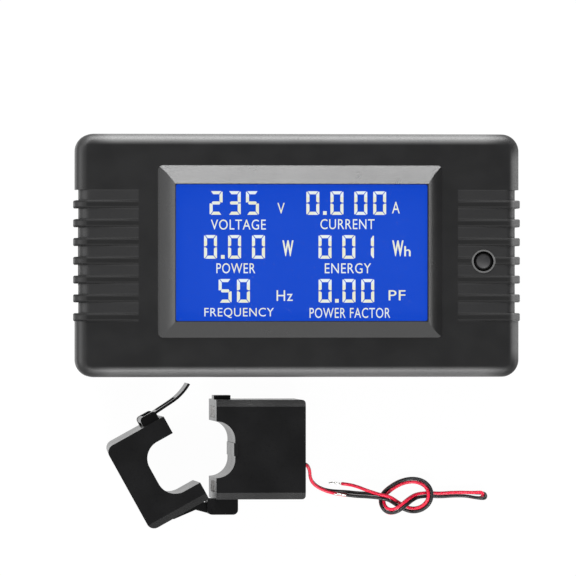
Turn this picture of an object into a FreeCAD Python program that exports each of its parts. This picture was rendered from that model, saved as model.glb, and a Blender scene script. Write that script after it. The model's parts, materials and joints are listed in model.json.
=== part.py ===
# A panel power meter and the split-core current transformer that belongs to it, in millimetres.
# The meter lies on its back, display up. The transformer lies on its side in front of it, jaw open.
# Origin: the centre of the meter's rear face. +X is to the reader's right, +Y is up the display.
import FreeCAD, Part
import math
import os
from FreeCAD import Vector as V

# Fits, used everywhere
FIT = 0.05  # side clearance of a piece that is seated
RUNNING = 0.03  # radial clearance of a shaft or thread that turns
SLIDE_FIT = 0.1  # side clearance of a piece that slides or is pushed in
PAST = 1.0  # how far a cutting shape runs past the face it cuts
SUNK = 0.02  # how deep a joined-on detail starts inside the body that carries it

# Meter housing
METER_WIDTH = 89.6
METER_HEIGHT = 49.0
METER_DEPTH = 24.4
BEZEL_RISE = 2.0
FLANGE_DEPTH = 7.0
CORNER_RADIUS = 3.5
FRONT_EDGE_RADIUS = 2.0
SHELL_WALL = 2.0
CASE_WALL = 1.8
CASE_FLOOR = 1.8
CASE_OVERLAP = 3.0
CAVITY_CORNER = 1.5
CASE_CORNER = 1.4
CASE_INNER_CORNER = 0.8
CASE_FOOT_RADIUS = 0.6
VENT_COUNT = 4
VENT_PITCH = 6.0
VENT_WIDTH = 2.0
VENT_LENGTH = 10.0
VENT_END_RADIUS = 0.9

# Finger ribs on both sides of the front shell
RIB_COUNT = 7
RIB_PITCH = 3.79
RIB_WIDTH = 1.63
RIB_PROUD = 0.28
RIB_LIFT = 0.3
RIB_REACH = 12.4
RIB_EDGE = 0.32
RIB_ROOT = 1.5
SIDE_RECESS = 0.75
RECESS_HEIGHT = 26.5

# Display
BEZEL_X = 0.38
BEZEL_Y = 0.8
SIDE_BAND = 16.0  # half of what the front is wider than the bezel
END_BAND = 7.15  # and half of what it is higher
BEZEL_WIDTH = METER_WIDTH - 2 * SIDE_BAND
BEZEL_HEIGHT = METER_HEIGHT - 2 * END_BAND
BEZEL_CORNER = 1.1
BEZEL_HOLLOW = 0.15  # how far the bezel's left and right slopes are hollowed
BEZEL_SLOPE_X = 3.35  # half of what the bezel is wider than the window
BEZEL_SLOPE_Y = 3.6
WINDOW_X = 0.53
WINDOW_Y = 0.56
WINDOW_WIDTH = BEZEL_WIDTH - 2 * BEZEL_SLOPE_X
WINDOW_HEIGHT = BEZEL_HEIGHT - 2 * BEZEL_SLOPE_Y
WINDOW_CORNER = 0.4
WINDOW_RIM = 0.15
WINDOW_SUNK = 0.4
WINDOW_PLUG = 1.1
WINDOW_FLANGE = 0.8
WINDOW_LAP = 1.2
GLASS_AIR = 0.2  # between the window and the glass
GLASS_THICKNESS = 2.2
GLASS_LAP = 0.5
FRAME_WALL = 1.2
PIN_ROOM = 1.1
BACKLIGHT_THICKNESS = 2.9
PIN_COUNT = 20
PIN_PITCH = 2.2
PIN_WIDTH = 0.5
PIN_THICKNESS = 0.35

# Push button and its switch
BUTTON_IN = 7.32  # from the front's right side to the button's middle
BUTTON_X = METER_WIDTH / 2 - BUTTON_IN
BUTTON_Y = -1.16
BUTTON_HOLE = 4.05
BUTTON_RING = 4.7
RING_RISE = 0.15
BUTTON_SUNK = 0.25
BUTTON_DISH = 2.84
DISH_DEPTH = 0.45
CAP_EDGE = 0.3
BUTTON_COLLAR = 5.6
COLLAR_THICKNESS = 1.0
COLLAR_ROOM = 0.3
BUTTON_TRAVEL = 0.35
PLUNGER_DIAMETER = 3.0
PLUNGER_LENGTH = 1.6
PLUNGER_SHOWS = 0.8
SWITCH_SIZE = 6.0

# Main board and what fixes it
BOARD_THICKNESS = 1.6
BOARD_GAP = 4.4
BOARD_MARGIN = 1.2
BOARD_CORNER = 1.0
BOSS_CLEARANCE = 0.3
BOSS_IN = 7.4  # from the front's sides to the case screws
BOSS_DOWN = 7.3
BOSS_X = METER_WIDTH / 2 - BOSS_IN
BOSS_Y = METER_HEIGHT / 2 - BOSS_DOWN
BOSS_RADIUS = 3.0
POST_RADIUS = 4.0
POST_TOP = 9.0
CASE_SCREW = 2.9
CASE_SCREW_LENGTH = 12.0
CASE_HEAD = 5.4
CASE_HEAD_HEIGHT = 1.8
COUNTERBORE_DEPTH = 3.2
STANDOFF_IN = 11.6  # and to the board's screws
STANDOFF_DOWN = 13.1
STANDOFF_X = METER_WIDTH / 2 - STANDOFF_IN
STANDOFF_Y = METER_HEIGHT / 2 - STANDOFF_DOWN
STANDOFF_RADIUS = 2.3
BOARD_SCREW = 2.2
BOARD_SCREW_LENGTH = 4.6
BOARD_HEAD = 4.2
BOARD_HEAD_HEIGHT = 1.5
THREAD_RUNOUT = 0.5
DRIVE_WIDTH = 0.16  # a screw's drive, as shares of its head
DRIVE_LENGTH = 0.7
DRIVE_DEPTH = 0.55

# Spring tongues that hold the meter in a panel
TONGUE_WIDTH = 12.0
TONGUE_THICKNESS = 1.2
TONGUE_FOOT_Z = 3.2
TONGUE_FOOT_RADIUS = 0.9
TONGUE_TOP_GAP = 1.2
HOOK_DEPTH = 1.3
HOOK_RAMP = 4.0
PANEL_ROOM = 3.0
HOOK_FLAT = 0.5
SLOT_MARGIN = 0.25

# Terminals
TERMINAL_COUNT = 4
TERMINAL_PITCH = 7.62
TERMINAL_DEPTH = 12.0
TERMINAL_SINK = 1.2
TERMINAL_WALL = 1.15
TERMINAL_MARGIN = 0.4
SCREW_HEAD = 4.2
SCREW_HEAD_HEIGHT = 1.2
SCREW_SHANK = 2.5
LEDGE = 0.7
CAGE_WALL = 0.7
CAGE_LENGTH = 5.0
CAGE_NUT = 1.2
CLAMP_SHARE = 0.8  # how much of the wire room a cage can close
TERMINAL_ROOF = 2.0
CONTACT_THICKNESS = 0.8
CONTACT_GAP = 0.3
CONTACT_TAIL = 1.0
TERMINAL_MOUTH = 1.4
TERMINAL_BACK = 0.9

# Components under the board
HEADROOM = 1.6  # between the tallest of them and the case's floor
FILM_WIDTH = 17.0
FILM_HEIGHT = 6.0
FILM_GAP = 1.1
CAN_DIAMETER = 8.0
VARISTOR_DIAMETER = 7.2
VARISTOR_THICKNESS = 3.4
VARISTOR_LEGS = 0.6
FUSE_DIAMETER = 3.4
FUSE_LENGTH = 9.0
METERING_LENGTH = 15.0
METERING_WIDTH = 7.4
METERING_HEIGHT = 2.2
METERING_LEGS = 12
CONTROLLER_LENGTH = 10.0
CONTROLLER_WIDTH = 5.4
CONTROLLER_HEIGHT = 1.8
CONTROLLER_LEGS = 10
MEMORY_LENGTH = 4.9
MEMORY_WIDTH = 3.9
MEMORY_HEIGHT = 1.5
MEMORY_LEGS = 4
CRYSTAL_LENGTH = 10.5
CRYSTAL_WIDTH = 4.0
CRYSTAL_HEIGHT = 3.5
BRIDGE_LENGTH = 8.0
BRIDGE_WIDTH = 6.4
BRIDGE_HEIGHT = 2.6
INDUCTOR_DIAMETER = 6.0
INDUCTOR_HEIGHT = 7.0
CHIP_CORNER = 0.2
LEG_OUT = 0.8
LEG_SHARE = 0.4
LEG_RUN = 1.4
LEG_RISE = 0.6
LEG_CORNER = 0.05
ROW_COUNT = 8
ROW_PITCH = 3.2
COLUMN_COUNT = 4
COLUMN_PITCH = 2.6

# Current transformer: fixed half
CT_X = -16.42
CT_AWAY = 14.67  # from the meter's lower side to the middle of the hole
CT_Y = -METER_HEIGHT / 2 - CT_AWAY
CT_DEPTH = 20.0
CT_WIDTH = 18.1
CT_HEIGHT = 20.1
CT_CORNER = 0.7
CT_WALL = 1.2
CT_LID = 1.4
CT_BEVEL = 1.35  # the narrow slopes along the transformer's long edges: their width
CT_BEVEL_DROP = 0.65  # and their fall
LID_LIP = 0.5
LID_LIP_WALL = 1.0
HOLE_HEIGHT = 11.4
HOLE_RADIUS = 3.8
BODY_HOLE = 3.8
HOLE_WALL = 0.7
LEG = 2.2
CORE_DEPTH = 11.0
YOKE_X = 11.2
BOBBIN_WALL = 0.6
BOBBIN_CHEEK = 0.9
WINDING_BUILD = 1.9
WINDING_CORNER = 1.2
CATCH_LENGTH = 3.4
CATCH_RISE = 0.85
CATCH_LOW = 7.6
CATCH_HIGH = 13.0
TAB_HEIGHT = 2.6
TAB_WIDTH = 0.6
TAB_PROUD = 0.25

# Current transformer: hinge, jaw and latch
SPLIT_GAP = 0.15
JAW_WIDTH = 13.6
JAW_DRAFT = 1.0  # how much the jaw's far wall leans in towards the back
JAW_HEIGHT = 19.0
JAW_HOLE = 7.6
JAW_CORNER = 1.6
JAW_YOKE_X = 8.6
CORE_SPRING = 0.8
SPRING_HALF = 5.5
SPRING_LEAF = 0.3
SPRING_INSET = 2.0
OPEN_ANGLE = 29.0
PIN_DROP = 12.2
PIN_RADIUS = 0.55
EYE_RADIUS = 1.1
ARM_THICKNESS = 2.8
ARM_LENGTH = 8.0
CHEEK = 1.9
LUG_LEFT = -1.35
LUG_RIGHT = 4.9
LUG_DROP = 3.25
LUG_CORNER = 1.0
STRAP_THICKNESS = 0.5
STRAP_WIDTH = 9.4
STRAP_RAIL = 1.6
STRAP_ROOT_X = -3.75
STRAP_ROOT_RISE = 1.0
STRAP_EYE = 0.75
STRAP_PIN = 0.4
STRAP_FLAT = 6.9
STRAP_SLOPE = 4.5
STRAP_TAB = 4.8
STRAP_CURL = 27.0
LOOP_START = 3.35
LOOP_LENGTH = 4.5
EAR_THICKNESS = 1.3
EAR_RADIUS = 0.8
EAR_LENGTH = 3.6
PIN_COVER = 0.5  # what is left of an ear beyond the end of the latch's pin

# Leads. The route is the middle of the bundle of four passes; each pass keeps its own lane in it.
LEAD_DIAMETER = 0.68
LANE_PITCH = 0.82
GLAND_Y = -3.28
GLAND_PROUD = 0.5
GLAND_HEIGHT = 2.2
GLAND_WIDTH = 3.2
TIP_DIAMETER = 0.45
TIP_LENGTH = 2.6

# Derived planes of the meter
FRONT_Z = METER_DEPTH - BEZEL_RISE
FLANGE_Z = FRONT_Z - FLANGE_DEPTH
PLATE_Z = FRONT_Z - SHELL_WALL
CAVITY_WIDTH = METER_WIDTH - 2 * SHELL_WALL
CAVITY_HEIGHT = METER_HEIGHT - 2 * SHELL_WALL
CASE_WIDTH = CAVITY_WIDTH - 2 * SLIDE_FIT
CASE_HEIGHT = CAVITY_HEIGHT - 2 * SLIDE_FIT
CASE_TOP = FLANGE_Z + CASE_OVERLAP
BOARD_TOP = PLATE_Z - BOARD_GAP
BOARD_BOTTOM = BOARD_TOP - BOARD_THICKNESS
WINDOW_TOP = METER_DEPTH - WINDOW_SUNK
WINDOW_STEP = WINDOW_TOP - WINDOW_PLUG
FLANGE_BACK = WINDOW_STEP - WINDOW_FLANGE
GLASS_TOP = FLANGE_BACK - GLASS_AIR
GLASS_BOTTOM = GLASS_TOP - GLASS_THICKNESS
GLASS_WIDTH = WINDOW_WIDTH + 2 * GLASS_LAP
GLASS_HEIGHT = WINDOW_HEIGHT + 2 * GLASS_LAP
BACKLIGHT_BOTTOM = GLASS_BOTTOM - BACKLIGHT_THICKNESS

# Derived places of the transformer, in its own frame: the split plane and the hole's middle
CORE_INNER = HOLE_HEIGHT / 2 + HOLE_WALL + FIT
CORE_OUTER = CORE_INNER + LEG
CORE_LOW = (CT_DEPTH - CORE_DEPTH) / 2
CORE_HIGH = CORE_LOW + CORE_DEPTH
LID_Z = CT_DEPTH - CT_LID
LUG_Z = (CATCH_LOW + CATCH_HIGH) / 2 - 0.2
STRAP_Z = LUG_Z + 0.2

CREATED = {}


def box(x0, x1, y0, y1, z0, z1):
    return Part.makeBox(x1 - x0, y1 - y0, z1 - z0, V(x0, y0, z0))


def block(width, height, z0, z1, x=0.0, y=0.0):
    """A box whose plan is centred on x, y."""
    return box(x - width / 2, x + width / 2, y - height / 2, y + height / 2, z0, z1)


def rod(radius, z0, z1, x=0.0, y=0.0):
    return Part.makeCylinder(radius, z1 - z0, V(x, y, z0))


def outline(width, height, radius, z, x=0.0, y=0.0):
    """A rounded rectangle as a closed wire of four sides and four arcs."""
    middle = V(x, y, z)
    half = V(width / 2, height / 2, 0)
    corners = [V(1, 1, 0), V(-1, 1, 0), V(-1, -1, 0), V(1, -1, 0)]
    edges = []
    ends = []
    for turn, sign in enumerate(corners):
        centre = middle + V(sign.x * (half.x - radius), sign.y * (half.y - radius), 0)
        points = []
        for step in range(3):
            angle = math.radians(90 * turn + 45 * step)
            points.append(centre + V(radius * math.cos(angle), radius * math.sin(angle), 0))
        ends.append(points)
    for turn, points in enumerate(ends):
        edges.append(Part.Arc(*points).toShape())
        edges.append(Part.LineSegment(points[2], ends[(turn + 1) % 4][0]).toShape())
    return Part.Wire(edges)


def plate(width, height, radius, z0, z1, x=0.0, y=0.0):
    return Part.Face(outline(width, height, radius, z0, x, y)).extrude(V(0, 0, z1 - z0))


def prism(points, depth):
    """A polygon pushed out along the vector depth."""
    return Part.Face(Part.makePolygon(points + points[:1])).extrude(depth)


def joined(shapes):
    whole = shapes[0]
    if len(shapes) > 1:
        whole = whole.fuse(shapes[1:])
    return whole.removeSplitter()


def mirrored_places(x, y):
    return [(sx * x, sy * y) for sx in (-1, 1) for sy in (-1, 1)]


def edges_at(shape, test):
    """The edges whose ends both pass the test."""
    return [e for e in shape.Edges if all(test(v.Point) for v in e.Vertexes)]


def save(name, shape):
    """Writes one sub-part and checks that it is sound."""
    solids = shape.Solids
    sound = shape.isValid() and solids and all(s.Volume > 0 for s in solids)
    if not sound:
        raise ValueError(name + " is not a sound solid")
    CREATED[name] = shape
    shape.exportStep("parts/" + name + ".step")


# Front shell

def softened_slab(width):
    """The flange as a rounded slab with a soft front edge."""
    slab = plate(width, METER_HEIGHT, CORNER_RADIUS, FLANGE_Z, FRONT_Z)
    front = edges_at(slab, lambda p: abs(p.z - FRONT_Z) < 1e-6)
    return slab.makeFillet(FRONT_EDGE_RADIUS, front)


def rib(side, y):
    """One finger rib: up the side, round the front edge and inwards on the front until it fades."""
    out = METER_WIDTH / 2 + RIB_PROUD
    top = FRONT_Z + RIB_LIFT
    bend = FRONT_EDGE_RADIUS + RIB_PROUD
    inner = METER_WIDTH / 2 - SIDE_RECESS - RIB_ROOT / 2
    end = METER_WIDTH / 2 - RIB_REACH
    deep = FRONT_Z - RIB_ROOT
    turn = math.sqrt(0.5) * bend
    low = y - RIB_WIDTH / 2
    at = [
        V(out, low, FLANGE_Z),
        V(out, low, top - bend),
        V(out - bend, low, top),
        V(end, low, FRONT_Z),
        V(end, low, deep),
        V(inner, low, deep),
        V(inner, low, FLANGE_Z),
    ]
    middle = V(out - bend + turn, low, top - bend + turn)
    edges = [Part.LineSegment(at[0], at[1]).toShape(), Part.Arc(at[1], middle, at[2]).toShape()]
    for i in range(2, 7):
        edges.append(Part.LineSegment(at[i], at[(i + 1) % 7]).toShape())
    bar = Part.Face(Part.Wire(edges)).extrude(V(0, RIB_WIDTH, 0))
    soft = edges_at(bar, lambda p: p.x > out - 0.01 or p.z > FRONT_Z - 0.01)
    soft = [e for e in soft if abs(e.tangentAt(e.FirstParameter).y) < 0.5]
    bar = bar.makeFillet(RIB_EDGE, soft)
    if side < 0:
        bar = bar.mirror(V(0, 0, 0), V(1, 0, 0))
    return bar


def rib_heights():
    """The ribs' middles, from the top one down. The lowest one ends with the recess."""
    lowest = -RECESS_HEIGHT / 2 + RIB_WIDTH / 2
    return [lowest + RIB_PITCH * i for i in range(RIB_COUNT)]


def bezel_block():
    """The bezel: plane slopes above and below, and slightly hollowed slopes left and right."""
    far = METER_WIDTH
    foot = FRONT_Z - SUNK
    rim_width = WINDOW_WIDTH + 2 * WINDOW_RIM
    rim_height = WINDOW_HEIGHT + 2 * WINDOW_RIM
    up_and_down = prism(
        [
            V(-far, BEZEL_Y - BEZEL_HEIGHT / 2, foot),
            V(-far, BEZEL_Y - BEZEL_HEIGHT / 2, FRONT_Z),
            V(-far, WINDOW_Y - rim_height / 2, METER_DEPTH),
            V(-far, WINDOW_Y + rim_height / 2, METER_DEPTH),
            V(-far, BEZEL_Y + BEZEL_HEIGHT / 2, FRONT_Z),
            V(-far, BEZEL_Y + BEZEL_HEIGHT / 2, foot),
        ],
        V(2 * far, 0, 0),
    )
    edges = []
    feet = []
    rims = []
    for side in (-1, 1):
        outer = V(BEZEL_X + side * BEZEL_WIDTH / 2, -far, FRONT_Z)
        inner = V(WINDOW_X + side * rim_width / 2, -far, METER_DEPTH)
        across = (inner - outer).normalize()
        down = V(side * across.z, 0, -side * across.x)
        middle = (outer + inner) * 0.5 - down * BEZEL_HOLLOW
        edges.append(Part.Arc(outer, middle, inner).toShape())
        edges.append(Part.LineSegment(outer, V(outer.x, -far, foot)).toShape())
        feet.append(V(outer.x, -far, foot))
        rims.append(inner)
    edges.append(Part.LineSegment(*feet).toShape())
    edges.append(Part.LineSegment(*rims).toShape())
    profile = Part.Wire(Part.__sortEdges__(edges))
    left_and_right = Part.Face(profile).extrude(V(0, 2 * far, 0))
    corners = plate(
        BEZEL_WIDTH, BEZEL_HEIGHT, BEZEL_CORNER, foot - PAST, METER_DEPTH + PAST, BEZEL_X, BEZEL_Y
    )
    return up_and_down.common(left_and_right).common(corners)


def front_shell():
    narrow = softened_slab(METER_WIDTH - 2 * SIDE_RECESS)
    wide = softened_slab(METER_WIDTH)
    wide = wide.cut(block(METER_WIDTH + 2 * PAST, RECESS_HEIGHT, FLANGE_Z - PAST, FRONT_Z + PAST))
    bezel = bezel_block()
    ring = rod(BUTTON_RING / 2, PLATE_Z, FRONT_Z + RING_RISE, BUTTON_X, BUTTON_Y)
    ribs = [rib(side, y) for side in (-1, 1) for y in rib_heights()]
    body = joined([narrow, wide, bezel, ring] + ribs)
    pocket_width = GLASS_WIDTH + 2 * FRAME_WALL + 4 * FIT
    pocket_height = GLASS_HEIGHT + 2 * FRAME_WALL + 2 * PIN_ROOM + 4 * FIT
    flange_width = WINDOW_WIDTH + 2 * WINDOW_LAP + 2 * FIT
    flange_height = WINDOW_HEIGHT + 2 * WINDOW_LAP + 2 * FIT
    body = body.cut(
        [
            plate(CAVITY_WIDTH, CAVITY_HEIGHT, CAVITY_CORNER, FLANGE_Z - PAST, PLATE_Z),
            block(pocket_width, pocket_height, PLATE_Z - PAST, FLANGE_BACK, WINDOW_X, WINDOW_Y),
            block(flange_width, flange_height, PLATE_Z - PAST, WINDOW_STEP, WINDOW_X, WINDOW_Y),
            plate(
                WINDOW_WIDTH,
                WINDOW_HEIGHT,
                WINDOW_CORNER,
                PLATE_Z,
                METER_DEPTH + PAST,
                WINDOW_X,
                WINDOW_Y,
            ),
            rod(BUTTON_HOLE / 2, PLATE_Z - PAST, FRONT_Z + PAST, BUTTON_X, BUTTON_Y),
        ]
    )
    bosses = [rod(BOSS_RADIUS, POST_TOP, PLATE_Z, x, y) for x, y in mirrored_places(BOSS_X, BOSS_Y)]
    bosses += [
        rod(STANDOFF_RADIUS, BOARD_TOP, PLATE_Z, x, y)
        for x, y in mirrored_places(STANDOFF_X, STANDOFF_Y)
    ]
    body = joined([body] + bosses)
    thread = CASE_SCREW / 2 + RUNNING
    deep = COUNTERBORE_DEPTH + CASE_SCREW_LENGTH + THREAD_RUNOUT
    fine_thread = BOARD_SCREW / 2 + RUNNING
    fine_deep = BOARD_BOTTOM + BOARD_SCREW_LENGTH + THREAD_RUNOUT
    pilots = [rod(thread, POST_TOP - PAST, deep, x, y) for x, y in mirrored_places(BOSS_X, BOSS_Y)]
    pilots += [
        rod(fine_thread, BOARD_TOP - PAST, fine_deep, x, y)
        for x, y in mirrored_places(STANDOFF_X, STANDOFF_Y)
    ]
    save("front_shell", body.cut(pilots))


# Display

def display():
    plug = plate(
        WINDOW_WIDTH - 2 * FIT,
        WINDOW_HEIGHT - 2 * FIT,
        WINDOW_CORNER - FIT,
        WINDOW_STEP,
        WINDOW_TOP,
        WINDOW_X,
        WINDOW_Y,
    )
    flange = block(
        WINDOW_WIDTH + 2 * WINDOW_LAP,
        WINDOW_HEIGHT + 2 * WINDOW_LAP,
        FLANGE_BACK,
        WINDOW_STEP,
        WINDOW_X,
        WINDOW_Y,
    )
    save("lcd_window", joined([plug, flange]))
    glass = block(GLASS_WIDTH, GLASS_HEIGHT, GLASS_BOTTOM, GLASS_TOP, WINDOW_X, WINDOW_Y)
    save("lcd_glass", glass)
    light = block(GLASS_WIDTH, GLASS_HEIGHT, BACKLIGHT_BOTTOM, GLASS_BOTTOM, WINDOW_X, WINDOW_Y)
    save("lcd_backlight", light)
    inner_width = GLASS_WIDTH + 2 * FIT
    inner_height = GLASS_HEIGHT + 2 * PIN_ROOM
    frame = block(
        inner_width + 2 * FRAME_WALL,
        inner_height + 2 * FRAME_WALL,
        BOARD_TOP,
        GLASS_TOP - SLIDE_FIT,
        WINDOW_X,
        WINDOW_Y,
    )
    room = block(inner_width, inner_height, BACKLIGHT_BOTTOM, GLASS_TOP + PAST, WINDOW_X, WINDOW_Y)
    under = block(
        inner_width - 4 * FRAME_WALL,
        inner_height - 4 * FRAME_WALL,
        BOARD_TOP - PAST,
        GLASS_TOP,
        WINDOW_X,
        WINDOW_Y,
    )
    pin_y = WINDOW_Y - GLASS_HEIGHT / 2 - PIN_THICKNESS
    first = WINDOW_X - PIN_PITCH * (PIN_COUNT - 1) / 2
    pins = []
    for i in range(PIN_COUNT):
        x = first + PIN_PITCH * i
        pins.append(
            box(
                x - PIN_WIDTH / 2,
                x + PIN_WIDTH / 2,
                pin_y,
                pin_y + PIN_THICKNESS,
                BOARD_TOP,
                GLASS_BOTTOM + GLASS_THICKNESS / 2,
            )
        )
    slot_width = PIN_PITCH * (PIN_COUNT - 1) + 4 * PIN_WIDTH
    slot = block(
        slot_width,
        2 * PIN_ROOM,
        BOARD_TOP - PAST,
        GLASS_BOTTOM,
        WINDOW_X,
        pin_y + PIN_THICKNESS / 2,
    )
    save("lcd_frame", frame.cut([room, under, slot]))
    save("lcd_pins", Part.makeCompound(pins))


# Push button

def button():
    collar_top = PLATE_Z - COLLAR_ROOM
    collar_low = collar_top - COLLAR_THICKNESS
    cap_top = FRONT_Z - BUTTON_SUNK
    cap_radius = BUTTON_HOLE / 2 - SLIDE_FIT
    stem = rod(cap_radius, collar_low, cap_top, BUTTON_X, BUTTON_Y)
    rim = edges_at(stem, lambda p: abs(p.z - cap_top) < 1e-6)
    stem = stem.makeFillet(CAP_EDGE, rim)
    collar = rod(BUTTON_COLLAR / 2, collar_low, collar_top, BUTTON_X, BUTTON_Y)
    half = BUTTON_DISH / 2
    ball = (half * half + DISH_DEPTH * DISH_DEPTH) / (2 * DISH_DEPTH)
    dish = Part.makeSphere(ball, V(BUTTON_X, BUTTON_Y, cap_top - DISH_DEPTH + ball))
    save("button_cap", joined([stem, collar]).cut(dish))
    plunger_low = collar_low - PLUNGER_LENGTH
    switch_top = collar_low - PLUNGER_SHOWS
    body = block(SWITCH_SIZE, SWITCH_SIZE, BOARD_TOP, switch_top, BUTTON_X, BUTTON_Y)
    bore = rod(
        PLUNGER_DIAMETER / 2 + RUNNING,
        plunger_low - BUTTON_TRAVEL - SLIDE_FIT,
        switch_top + PAST,
        BUTTON_X,
        BUTTON_Y,
    )
    save("switch_body", body.cut(bore))
    plunger = rod(PLUNGER_DIAMETER / 2, plunger_low, collar_low, BUTTON_X, BUTTON_Y)
    save("switch_plunger", plunger)


# Rear case, screws and board

def tongue_slot(side):
    wall = CASE_WIDTH / 2
    low = TONGUE_FOOT_Z - TONGUE_FOOT_RADIUS - FIT
    slot = block(
        2 * (CASE_WALL + TONGUE_FOOT_RADIUS),
        TONGUE_WIDTH + 2 * SLOT_MARGIN,
        low,
        FLANGE_Z - TONGUE_TOP_GAP + SLOT_MARGIN,
        side * wall,
        0,
    )
    return slot


def terminal_span():
    """Half the terminal block's width, with its outer walls."""
    return TERMINAL_PITCH * TERMINAL_COUNT / 2 + TERMINAL_MARGIN


def rear_case():
    outer = plate(CASE_WIDTH, CASE_HEIGHT, CASE_CORNER, 0, CASE_TOP)
    foot = edges_at(outer, lambda p: abs(p.z) < 1e-6)
    outer = outer.makeFillet(CASE_FOOT_RADIUS, foot)
    inner = plate(
        CASE_WIDTH - 2 * CASE_WALL,
        CASE_HEIGHT - 2 * CASE_WALL,
        CASE_INNER_CORNER,
        CASE_FLOOR,
        CASE_TOP + PAST,
    )
    tray = outer.cut(inner)
    foot_z = CASE_FLOOR / 2
    posts = [rod(POST_RADIUS, foot_z, POST_TOP, x, y) for x, y in mirrored_places(BOSS_X, BOSS_Y)]
    tray = joined([tray] + posts)
    cuts = [tongue_slot(-1), tongue_slot(1)]
    half = terminal_span() + SLIDE_FIT
    edge = -CASE_HEIGHT / 2
    back = edge + TERMINAL_DEPTH + SLIDE_FIT + TERMINAL_MARGIN
    cuts.append(box(-half, half, edge - PAST, back, -PAST, BOARD_BOTTOM + SLIDE_FIT))
    for x, y in mirrored_places(BOSS_X, BOSS_Y):
        cuts.append(rod(CASE_SCREW / 2 + SLIDE_FIT, -PAST, POST_TOP + PAST, x, y))
        cuts.append(rod(CASE_HEAD / 2 + SLIDE_FIT, -PAST, COUNTERBORE_DEPTH, x, y))
    vent_y = CASE_HEIGHT / 4
    for i in range(VENT_COUNT):
        x = VENT_PITCH * (i - (VENT_COUNT - 1) / 2)
        cuts.append(
            plate(VENT_WIDTH, VENT_LENGTH, VENT_END_RADIUS, -PAST, CASE_FLOOR + PAST, x, vent_y)
        )
    save("rear_case", tray.cut(cuts))


def screw(shank, length, head, head_height, seat_z, x, y, cross):
    """A pan-head screw driven from below: its head hangs under seat_z and its shank goes up."""
    face = seat_z - head_height
    shaft = rod(shank / 2, seat_z, seat_z + length, x, y)
    body = joined([shaft, rod(head / 2, face, seat_z, x, y)])
    wide = head * DRIVE_WIDTH
    long = head * DRIVE_LENGTH
    deep = face + head_height * DRIVE_DEPTH
    cuts = [block(long, wide, face - PAST, deep, x, y)]
    if cross:
        cuts.append(block(wide, long, face - PAST, deep, x, y))
    return body.cut(cuts)


def fasteners():
    coarse = (CASE_SCREW, CASE_SCREW_LENGTH, CASE_HEAD, CASE_HEAD_HEIGHT, COUNTERBORE_DEPTH)
    fine = (BOARD_SCREW, BOARD_SCREW_LENGTH, BOARD_HEAD, BOARD_HEAD_HEIGHT, BOARD_BOTTOM)
    places = mirrored_places(BOSS_X, BOSS_Y)
    fine_places = mirrored_places(STANDOFF_X, STANDOFF_Y)
    save("case_screws", Part.makeCompound([screw(*coarse, x, y, True) for x, y in places]))
    save("board_screws", Part.makeCompound([screw(*fine, x, y, True) for x, y in fine_places]))


def main_board():
    margin = 2 * (CASE_WALL + BOARD_MARGIN)
    low = BOARD_BOTTOM - PAST
    high = BOARD_TOP + PAST
    board = plate(
        CASE_WIDTH - margin, CASE_HEIGHT - margin, BOARD_CORNER, BOARD_BOTTOM, BOARD_TOP
    )
    cuts = []
    for x, y in mirrored_places(BOSS_X, BOSS_Y):
        cuts.append(rod(BOSS_RADIUS + BOSS_CLEARANCE, low, high, x, y))
        x0, x1 = sorted((x, 2 * x))
        y0, y1 = sorted((y, 2 * y))
        cuts.append(box(x0, x1, y0, y1, low, high))
    for x, y in mirrored_places(STANDOFF_X, STANDOFF_Y):
        cuts.append(rod(BOARD_SCREW / 2 + SLIDE_FIT, low, high, x, y))
    save("main_board", board.cut(cuts))


def tongue(side):
    """A spring tongue in the case's side wall, with a hook that catches behind a panel."""
    outer = CASE_WIDTH / 2 - SLIDE_FIT
    inner = outer - TONGUE_THICKNESS
    top = FLANGE_Z - TONGUE_TOP_GAP
    catch = FLANGE_Z - PANEL_ROOM
    points = [
        V(inner, 0, TONGUE_FOOT_Z),
        V(outer, 0, TONGUE_FOOT_Z),
        V(outer, 0, catch - HOOK_RAMP),
        V(outer + HOOK_DEPTH, 0, catch - HOOK_FLAT),
        V(outer + HOOK_DEPTH, 0, catch),
        V(outer, 0, catch + HOOK_DEPTH / 2),
        V(outer, 0, top),
        V(inner, 0, top),
    ]
    points = [p + V(0, -TONGUE_WIDTH / 2, 0) for p in points]
    leaf = prism(points, V(0, TONGUE_WIDTH, 0))
    foot_x = (inner + outer) / 2
    foot = Part.makeCylinder(
        TONGUE_FOOT_RADIUS, TONGUE_WIDTH, V(foot_x, -TONGUE_WIDTH / 2, TONGUE_FOOT_Z), V(0, 1, 0)
    )
    whole = joined([leaf, foot])
    if side < 0:
        whole = whole.mirror(V(0, 0, 0), V(1, 0, 0))
    return whole


# Terminals

def bay_middles():
    return [TERMINAL_PITCH * (i - (TERMINAL_COUNT - 1) / 2) for i in range(TERMINAL_COUNT)]


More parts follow.
